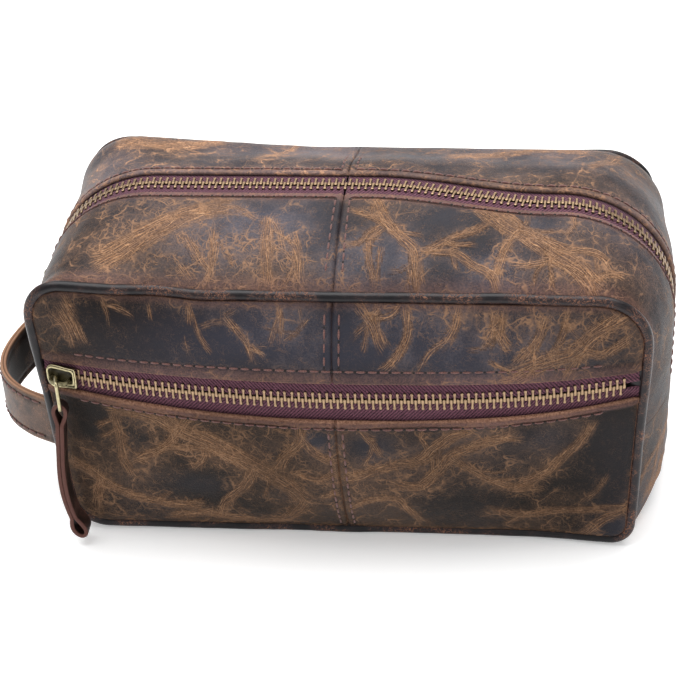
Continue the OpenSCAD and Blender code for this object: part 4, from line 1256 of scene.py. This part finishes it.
def stitch_parts(start, end, out):
    """A thread from hole to hole, arched over the leather, a dark dome of painted shadow in
    the hole it starts from, and the distance along the thread at each of its points."""
    path = np.linspace(0, 1, 7)[:, None]
    rise = THREAD_RISE * np.sin(math.pi * path) - THREAD_SINK
    line = start + (end - start) * (0.06 + 0.88 * path) + out * rise
    along = (end - start) / np.linalg.norm(end - start)
    side = np.cross(out, along)
    turns = np.linspace(0, 2 * math.pi, 7)[:-1]
    ring = np.stack([np.cos(turns), np.sin(turns)], -1)
    radius = THREAD_R * np.array([0.45, 0.85, 1, 1, 1, 0.85, 0.45])
    thread = sweep(line, ring * radius[:, None, None], np.tile(side, (7, 1)), np.tile(out, (7, 1)))
    # A dark dome of painted shadow, sitting in the hole
    dome = np.array([0.0, 0.5, 0.85, 1.0]) * math.pi / 2
    tops = start + out * 0.02 + out * (HOLE_SHADOW_DOME * np.sin(dome) - 0.06)[:, None]
    sizes = np.maximum(0.02, HOLE_SHADOW_R * np.cos(dome))
    hole = sweep(tops, ring * sizes[:, None, None], np.tile(along, (4, 1)), np.tile(side, (4, 1)))
    return thread, hole, np.repeat(path[:, 0] * np.linalg.norm(end - start), len(ring))


def stitch_piece(name, rows):
    """rows is a list of (points, normals), each point a needle hole."""
    threads, holes, twist = [], [], []
    for points, outs in rows:
        for a, b, out in zip(points, points[1:], (outs[:-1] + outs[1:]) / 2):
            thread, hole, weave = stitch_parts(a, b, out / np.linalg.norm(out))
            threads.append(thread)
            holes.append(hole)
            twist.append(weave)
    verts, faces = merged(threads + holes)
    twist = np.concatenate(twist)
    weave = np.append(twist, np.zeros(len(verts) - len(twist)))
    piece = make(name, verts, faces, "bag", "thread", THREAD, HOLE_SHADOW, weave=weave)
    # Faces of the domes take the second material, the painted shadow of the needle holes
    is_hole_shadow = np.arange(len(faces)) >= sum(len(thread[1]) for thread in threads)
    piece.data.polygons.foreach_set("material_index", is_hole_shadow.astype(np.int32))


def panel_row(face, xs, zs, sink=0.3):
    """Needle holes in a panel, sunk below its plain surface, and the normals there."""
    points = panel(face, xs, zs)
    du = panel(face, xs + 0.5, zs) - points
    dv = panel(face, xs, zs + 0.5) - points
    out = unit(-face * np.cross(du, dv))
    return points - out * sink, out


def gusset_row(s, q, sink=0.3):
    """The same in the wrap-round skin."""
    points = shell(s, q)
    out = unit(np.cross(shell(s + 0.004, q) - points, shell(s, q + 0.01) - points))
    out *= np.sign((out * (points - (0, 0, 60))).sum(1, keepdims=True))
    return points - out * sink, out


def stitching():
    count = int((ZIP_HALF - 10) / STITCH_PITCH)
    xs = np.arange(-count, count + 1) * STITCH_PITCH
    xi = np.abs(xs) / ZIP_HALF
    upper = panel_row(-1, xs, slot_edge(True, xi) + UPPER_STITCH)
    lower = panel_row(-1, xs, slot_edge(False, xi) - LOWER_STITCH, -0.15)
    stitch_piece("pocket_stitching", [upper, lower])
    rows = []
    for side in (-1, 1):
        x = side * SEAM_STITCH_X
        for face, low, high in (
            (-1, slot_edge(True, 0) + 6, PANEL_TOP - 1),
            (-1, PANEL_BASE + 1, slot_edge(False, 0) - 4),
            (1, PANEL_BASE + 1, PANEL_TOP - 1),
        ):
            zs = np.arange(low, high, STITCH_PITCH)
            rows.append(panel_row(face, x + 0 * zs, zs))
        for face in (-1, 1):
            depths = np.arange(TOP_SLOT + 4, 52, STITCH_PITCH)
            s = side * (5 - SEAM_STITCH_X / outline(side, 0.0)[0])
            rows.append(gusset_row(s + 0 * depths, face * depths / SEAM_Y))
    stitch_piece("centre_seam_stitching", rows)
    q = (TOP_SLOT + TOP_STITCH) / SEAM_Y
    rows = []
    for side in (-1, 1):
        s = side * even_steps(JOINT_S + 0.06, 4.97, STITCH_PITCH)
        for face in (-1, 1):
            rows.append(gusset_row(s, face * q + 0 * s, 0.0))
    stitch_piece("top_zip_stitching", rows)
    ts = np.linspace(0.06, 0.94, 26)
    rows = []
    for end in (-1, 1):
        points, out = strap_points(ts, STRAP_T + 0.02, STRAP_Z + end * (STRAP_W / 2 - STRAP_STITCH))
        rows.append((points - out * 0.1, out))
    stitch_piece("handle_stitching", rows)


# ---------------------------------------------------------------- handle

STRAP_CURVE = np.array([(-117.2, -55), (-167, -37), (-147, -1), (-117.2, 55.5)])


def strap_at(t):
    """Plan of the strap's middle from its front end (t 0) to its back end (t 1)."""
    t = np.asarray(t, float)[..., None]
    a, b, c, d = STRAP_CURVE
    return (1 - t) ** 3 * a + 3 * t * (1 - t) ** 2 * b + 3 * t * t * (1 - t) * c + t**3 * d


def strap_points(t, offset, z):
    """Points beside the strap's curve at height z, and the outward normals."""
    d = strap_at(np.asarray(t) + 0.01) - strap_at(np.asarray(t) - 0.01)
    out = unit(np.stack([-d[..., 1], d[..., 0]], -1))
    plan = strap_at(t) + out * np.asarray(offset)[..., None]
    z = np.broadcast_to(z, plan.shape[:-1]) + STRAP_RISE * np.asarray(t)
    return np.concatenate([plan, z[..., None]], -1), np.concatenate([out, 0 * z[..., None]], -1)


def handle():
    t = np.linspace(0, 1, 160)[:, None]
    across = np.linspace(-1, 1, 30)[None, :]
    trim = 0.25 * noise(np.stack(np.broadcast_arrays(t * 130, 0, across), -1), 16, 4)
    z = STRAP_Z + across * (STRAP_W / 2 + trim)
    edge_dip = 0.3 * np.abs(across) ** 8
    edge_dip += stitch_line((1 - np.abs(across)) * STRAP_W / 2 - STRAP_STITCH)
    # The inner face gets the darker leather: painted shade between the strap and the bag
    for name, sign, material in (("handle_outer", 1, STRAP), ("handle_inner", -1, STRAP_INSIDE_PAINTED_SHADE)):
        wave = 0.12 * noise(np.stack([t * 130 + 0 * z, z, 0 * z], -1), 7, 8)
        outer, _ = strap_points(t + 0 * z, sign * (STRAP_T + wave - edge_dip), z)
        inner, _ = strap_points(t + 0 * z, sign * 0.05 + 0 * z, z)
        verts, faces, ids, edge = slab(outer, inner, 0.7, 3)
        rub = np.clip((np.abs(across) - 0.9) / 0.1, 0, 1) * 0.5 + 0 * z
        edge = np.maximum(edge, rub.reshape(-1)[ids])
        make(name, verts, faces, "bag", "strap_leather", material, edge=edge)


# ---------------------------------------------------------------- sliders and pulls


def prism(plan, low, high, bevel, dish=0.0):
    """Upright solid over a plan outline, its top and bottom edges rounded and its top
    dished by that depth. Returns its vertices, faces and how rubbed each vertex is."""
    plan = np.array(plan, float)
    centre = plan.mean(0)
    reach = np.abs(plan - centre).max(0)
    turns = np.linspace(0, math.pi / 2, 4)
    rows = [(low + bevel * (1 - math.cos(t)), bevel * (1 - math.sin(t)), 0.1) for t in turns]
    rows += [(high - bevel * (1 - math.cos(t)), bevel * (1 - math.sin(t)), 1.0) for t in turns[::-1]]
    rows[-1:] = [(high, bevel, 1.0), (high, bevel + 0.25, 1.0), (high - dish, bevel + 0.6, 0.0)]
    rings = []
    for z, inset, _ in rows:
        ring = centre + (plan - centre) * (1 - inset / reach)
        rings.append(np.column_stack([ring, np.full(len(ring), z)]))
    return np.concatenate(rings), stacked(rings), np.repeat([rub for _, _, rub in rows], len(plan))


def rounded(plan, radius, steps=4):
    """A plan outline with its corners rounded."""
    out = []
    count = len(plan)
    for k in range(count):
        a, b, c = (np.array(plan[(k + d) % count], float) for d in (-1, 0, 1))
        to_a, to_c = a - b, c - b
        cut = min(radius, np.linalg.norm(to_a) / 2, np.linalg.norm(to_c) / 2)
        p, q = b + to_a / np.linalg.norm(to_a) * cut, b + to_c / np.linalg.norm(to_c) * cut
        for t in np.linspace(0, 1, steps + 1):
            out.append((1 - t) ** 2 * p + 2 * t * (1 - t) * b + t * t * q)
    return out


SLIDER_SIDE = [(-6.4, -3.4), (-4.6, -5.1), (-1, -5.0), (2, -4.5), (6.4, -4.4)]
SLIDER_PLAN = SLIDER_SIDE + [(x, -y) for x, y in SLIDER_SIDE[::-1]]
PLATE_BASE, PLATE_TOP = -0.3, 1.3
BAR_LOW, BAR_T, BRIDGE_HALF, POST_L = 4.4, 1.0, 4.5, 1.2


def box_plan(x0, x1, y0, y1, radius=0.3, steps=2):
    """A rectangle with rounded corners."""
    return rounded([(x0, y0), (x1, y0), (x1, y1), (x0, y1)], radius, steps)


def slider_piece(name, body, place):
    """Body of a slider: two plates with side flanges, the upper one a dished dark
    plate with a rubbed rim."""
    plate = rounded([(x, 1.08 * y) for x, y in SLIDER_PLAN], 1.2)
    parts = [prism(plate, PLATE_BASE, PLATE_TOP - 0.4, 0.35)]
    dish = [(0.95 * x, 0.86 * y + 0.9) for x, y in SLIDER_PLAN]
    parts.append(prism(rounded(dish, 1.4), PLATE_TOP - 0.6, PLATE_TOP + 0.45, 0.3, 0.55))
    for low, high in ((-4.4, -3.9), (3.9, 4.4)):
        parts.append(prism(box_plan(-4.5, 6.0, low, high, 0.2), -1.4, -0.1, 0.1))
    parts.append(prism(box_plan(-2.4, 6.0, -4.2, 4.2, 0.8), -4.9, -3.9, 0.25))
    parts.append(prism(box_plan(-2.4, -0.4, -0.9, 0.9), -4.2, 0.0, 0.1))
    verts, faces = merged([part[:2] for part in parts])
    rub = np.concatenate([part[2] for part in parts])
    make(name, placed(verts, place), faces, body, "antique_brass", BRASS, rub=rub)


def bridge_piece(name, body, place):
    """Arched bar over the slider that the ring passes under."""
    top, low = BAR_LOW + BAR_T / 2, PLATE_TOP - 0.2
    outer = BRIDGE_HALF - POST_L / 2
    rise = [(-outer, low), (-outer, 3.2), (-outer + 0.9, top - 0.25), (-1.6, top)]
    line = smooth_line(rise + [(-x, z) for x, z in rise[::-1]], 0.35)
    path = np.stack([line[:, 0], 0 * line[:, 0], line[:, 1]], -1)
    section = np.array(box_plan(-0.88, 0.88, -0.48, 0.48, steps=3))
    verts, faces = flat_sweep(path, section, (0, 1, 0), loop=False)
    faces = [f[::-1] for f in faces]
    rub = np.tile(0.25 + 0.75 * (section[:, 1] < 0), len(path))
    make(name, placed(verts, place), faces, body, "antique_brass", BRASS, rub=rub)


RING_HALF, RING_L, RING_CORNER, WIRE_R = 3.3, 13.3, 1.5, 0.72


def ring_piece(name, body, top, yaw=0.0):
    """Wire ring hanging from the middle of its top bar, in the YZ plane turned by yaw."""
    corners = [(-RING_HALF, 0), (RING_HALF, 0), (RING_HALF, -RING_L), (-RING_HALF, -RING_L)]
    line = np.array(rounded(corners, RING_CORNER, 8))
    path = np.stack([0 * line[:, 0], line[:, 0], line[:, 1]], -1)
    turns = np.linspace(0, 2 * math.pi, 15)[:-1]
    section = WIRE_R * np.stack([np.cos(turns), np.sin(turns)], -1)
    verts, faces = flat_sweep(path, section, (1, 0, 0))
    verts = placed(verts, Matrix.Rotation(yaw, 4, "Z")) + np.array(top)
    make(name, verts, faces, body, "antique_brass", BRASS, rub=np.full(len(verts), 0.8))


PULL_T, EYE_L, EYE_W = 1.7, 8.5, 1.7
NECK_W, NECK_LOW, NECK_HIGH, PULL_W = 4.4, 9.0, 3.5, 7.4


def pull_piece(name, body, top, length, sway, seed):
    """Leather strip folded through the ring and sewn to itself: a long closed loop
    with an eye at each end, its two layers lying together between them."""
    run = length - 2 * PULL_T
    fine = np.linspace(0, 1, 400)
    down = run * fine
    from_end = np.minimum(down, run - down)
    eye = np.where(from_end < EYE_L, EYE_W * np.sin(math.pi * np.clip(from_end / EYE_L, 0, 1) ** 0.62), 0)
    half = np.maximum(eye, 0.03 * np.minimum(1, from_end))
    middle = sway * ((down / run) ** 3 - 1.7 * np.sin(math.pi * (down / run) ** 1.5))
    right = np.stack([middle + half, -down], -1)
    left = np.stack([middle - half, -down], -1)[-2:0:-1]
    loop = np.concatenate([right, left])
    closed = np.concatenate([loop, loop[:1]])
    total = run_of(closed)
    even = np.linspace(0, total[-1], 321)[:-1]
    x, z = np.interp(even, total, closed[:, 0]), np.interp(even, total, closed[:, 1])
    for _ in range(2):
        x, z = ((np.roll(v, 1) + 2 * v + np.roll(v, -1)) / 4 for v in (x, z))
    path = np.stack([x, 0 * x, z + WIRE_R + 0.25], -1)
    share = ramp(-path[:, 2], NECK_HIGH, NECK_LOW)
    width = (NECK_W + (PULL_W - NECK_W) * share) * (1 + 0.02 * noise(path, 5, seed))
    section = np.array(box_plan(-0.5, 0.5, 0, 1, 0.12))
    thick = PULL_T * (1 + 0.06 * noise(path, 6, seed + 1))
    sized = section * np.stack([width, thick], -1)[:, None]
    verts, faces = flat_sweep(path, sized, (0, 1, 0))
    edge = np.tile((np.abs(section[:, 0]) > 0.44).astype(float), len(path))
    make(name, verts + np.array(top), faces, body, "pull_leather", PULL, edge=edge)


POCKET_PULL_LEN, TOP_PULL_LEN = 69, 25
BAR_PLAY = 2.25
RING_YAW = math.radians(14.5)


def top_wire():
    """Where the main ring's wire passes under its bridge."""
    low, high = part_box("top_pull_ring")
    return Vector(((low.x + high.x) / 2 / MM, (low.y + high.y) / 2 / MM, high.z / MM - 0.75))


def hardware():
    """Both sliders with their bridges, rings and leather pulls."""
    place = on_pocket_zip(POCKET_START)
    slider_piece("pocket_slider", "pocket_slider", place)
    bridge_piece("pocket_slider_bridge", "pocket_slider", place)
    bar = place @ Vector((0, 0, BAR_LOW + BAR_T / 2))
    ring_top = bar + Vector((0, BAR_PLAY - RING_HALF, BAR_PLAY))
    ring_piece("pocket_pull_ring", "pocket_ring", ring_top, RING_YAW)
    foot = ring_top - Vector((0, 0, RING_L))
    pull_piece("pocket_leather_pull", "pocket_pull", foot, POCKET_PULL_LEN, 2, 5)

    place = on_top_zip(-1, MAIN_SLIDER_L)
    slider_piece("top_slider", "top_slider", place)
    bridge_piece("top_slider_bridge", "top_slider", place)
    wire = top_wire()
    ring_piece("top_pull_ring", "top_ring", wire)
    pull_piece("top_leather_pull", "top_pull", wire - Vector((0, 0, RING_L)), TOP_PULL_LEN, 0, 9)


# ---------------------------------------------------------------- inside

LINING_OFFSET, LINING_Y = -LEATHER_T - 1.2, SEAM_Y - 5.2


def cloth_piece(name, grid, out, seed):
    """Thin lining cloth over a grid of points, slightly puckered."""
    pucker = 0.3 * noise(grid, 9, seed) + 0.12 * noise(grid, 4, seed + 1)
    outer = grid + out * pucker[..., None]
    verts, faces, _, _ = slab(outer, outer - out * LINING_T)
    make(name, verts, faces, "bag", "lining_cloth", LINING)


def lining_sheet(name, face, y, seed):
    """Flat side of the lining, inside the front or back panel."""
    inset = ALLOWANCE + 1
    z = np.linspace(SEAM_LIFT + inset + 0.1, SEAM_H - inset - 0.1, 50)[:, None]
    u = np.linspace(-1, 1, 110)[None, :]
    half = np.where(u < 0, half_width(-1, face, -inset, z), half_width(1, face, -inset, z))
    cloth_piece(name, np.stack(np.broadcast_arrays(u * half, y, z), -1), np.array((0, 1.0, 0)), seed)


def lining_strip(name, s, depths, seed):
    """Lining under the wrap-round skin."""
    grid = shell(s[:, None], depths[None, :] / SEAM_Y, LINING_OFFSET)
    cloth_piece(name, grid, normals_of(grid), seed)


def linings():
    lining_sheet("lining_front", -1, 1.2 - LINING_Y, 71)
    lining_sheet("pocket_lining", -1, -1.2 - LINING_Y, 73)
    lining_sheet("lining_back", 1, LINING_Y, 75)
    over = over_top(2.0)
    depths = np.linspace(9, LINING_Y - 1.2, 24)
    lining_strip("lining_top_front", over, -depths, 77)
    lining_strip("lining_top_back", over, depths, 79)
    under = even_steps(-JOINT_S + 0.01, JOINT_S - 0.01, 2.0)
    lining_strip("lining_base", under, np.linspace(1.2 - LINING_Y, LINING_Y - 1.2, 50), 81)


# ---------------------------------------------------------------- set


def floor_material():
    s = Shader("pale_floor")
    grain = s.noise(s.position(), 0.02, 2.0)
    pale = s.mix(grain, rgb(246, 246, 246), rgb(250, 250, 250))
    # The floor glows a little: painted light that lightens the shadows on it and also lights the bag from
    # below
    return s.finish(Base_Color=pale, Roughness=0.9, Emission_Color=pale, Emission_Strength=0.25)


def stage():
    """A wide white floor."""
    mesh = bpy.data.meshes.new("floor")
    corners = [(-3, -3, 0), (3, -3, 0), (3, 3, 0), (-3, 3, 0)]
    mesh.from_pydata(corners, [], [(0, 1, 2, 3)])
    mesh.materials.append(floor_material())
    floor = bpy.data.objects.new("floor", mesh)
    bpy.context.scene.collection.objects.link(floor)


def softbox(name, place, target, size, power):
    light = bpy.data.lights.new(name, "AREA")
    light.shape = "RECTANGLE"
    light.size, light.size_y = size
    light.energy = power
    lamp = bpy.data.objects.new(name, light)
    lamp.location = place
    lamp.rotation_euler = (Vector(target) - Vector(place)).to_track_quat("-Z", "Y").to_euler()
    bpy.context.scene.collection.objects.link(lamp)


def lights():
    world = bpy.data.worlds.new("studio")
    world.use_nodes = True
    background = world.node_tree.nodes["Background"]
    background.inputs["Color"].default_value = (1, 1, 1, 1)
    background.inputs["Strength"].default_value = 0.6
    bpy.context.scene.world = world
    middle = (0, 0, 0.08)
    softbox("overhead", (-0.1, 0.3, 1.2), middle, (1.8, 1.3), 30)
    softbox("front", (0.5, -1.2, 0.9), middle, (0.8, 0.6), 3)


def camera():
    """The view of the photo: from the front, a little to its right, looking down."""
    azimuth, elevation, roll = (math.radians(v) for v in (8.96, 35.39, -4.32))
    target, distance = Vector((-0.0075, 0, 0.0571)), 1.05865
    level = Vector((math.cos(azimuth), math.sin(azimuth), 0))
    out = Vector((math.sin(azimuth), -math.cos(azimuth), 0))
    back = out * math.cos(elevation) + Vector((0, 0, math.sin(elevation)))
    right = level * math.cos(roll) + back.cross(level) * math.sin(roll)
    up = back.cross(right)
    data = bpy.data.cameras.new("camera")
    data.sensor_width = 36
    data.lens = 132.3
    view = bpy.data.objects.new("camera", data)
    view.matrix_world = Matrix((
        (right.x, up.x, back.x, 0), (right.y, up.y, back.y, 0), (right.z, up.z, back.z, 0), (0, 0, 0, 1),
    ))
    view.location = target + back * distance
    bpy.context.scene.collection.objects.link(view)
    bpy.context.scene.camera = view


camera()
lights()
stage()
front_pieces()
back_pieces()
top_pieces()
base_piece()
piping_piece(-1, "front_piping", 51, PIPING_R - 0.15, 0.3)
piping_piece(-1, "front_piping_cord", 51, CORD_R, 0.3)
piping_piece(1, "back_piping_cord", 61, CORD_R - 0.3, -0.5)
piping_piece(1, "back_piping", 61, PIPING_R - 0.6, -0.5)
zips()
stitching()
handle()
hardware()
linings()
bpy.context.scene.view_settings.view_transform = "Standard"
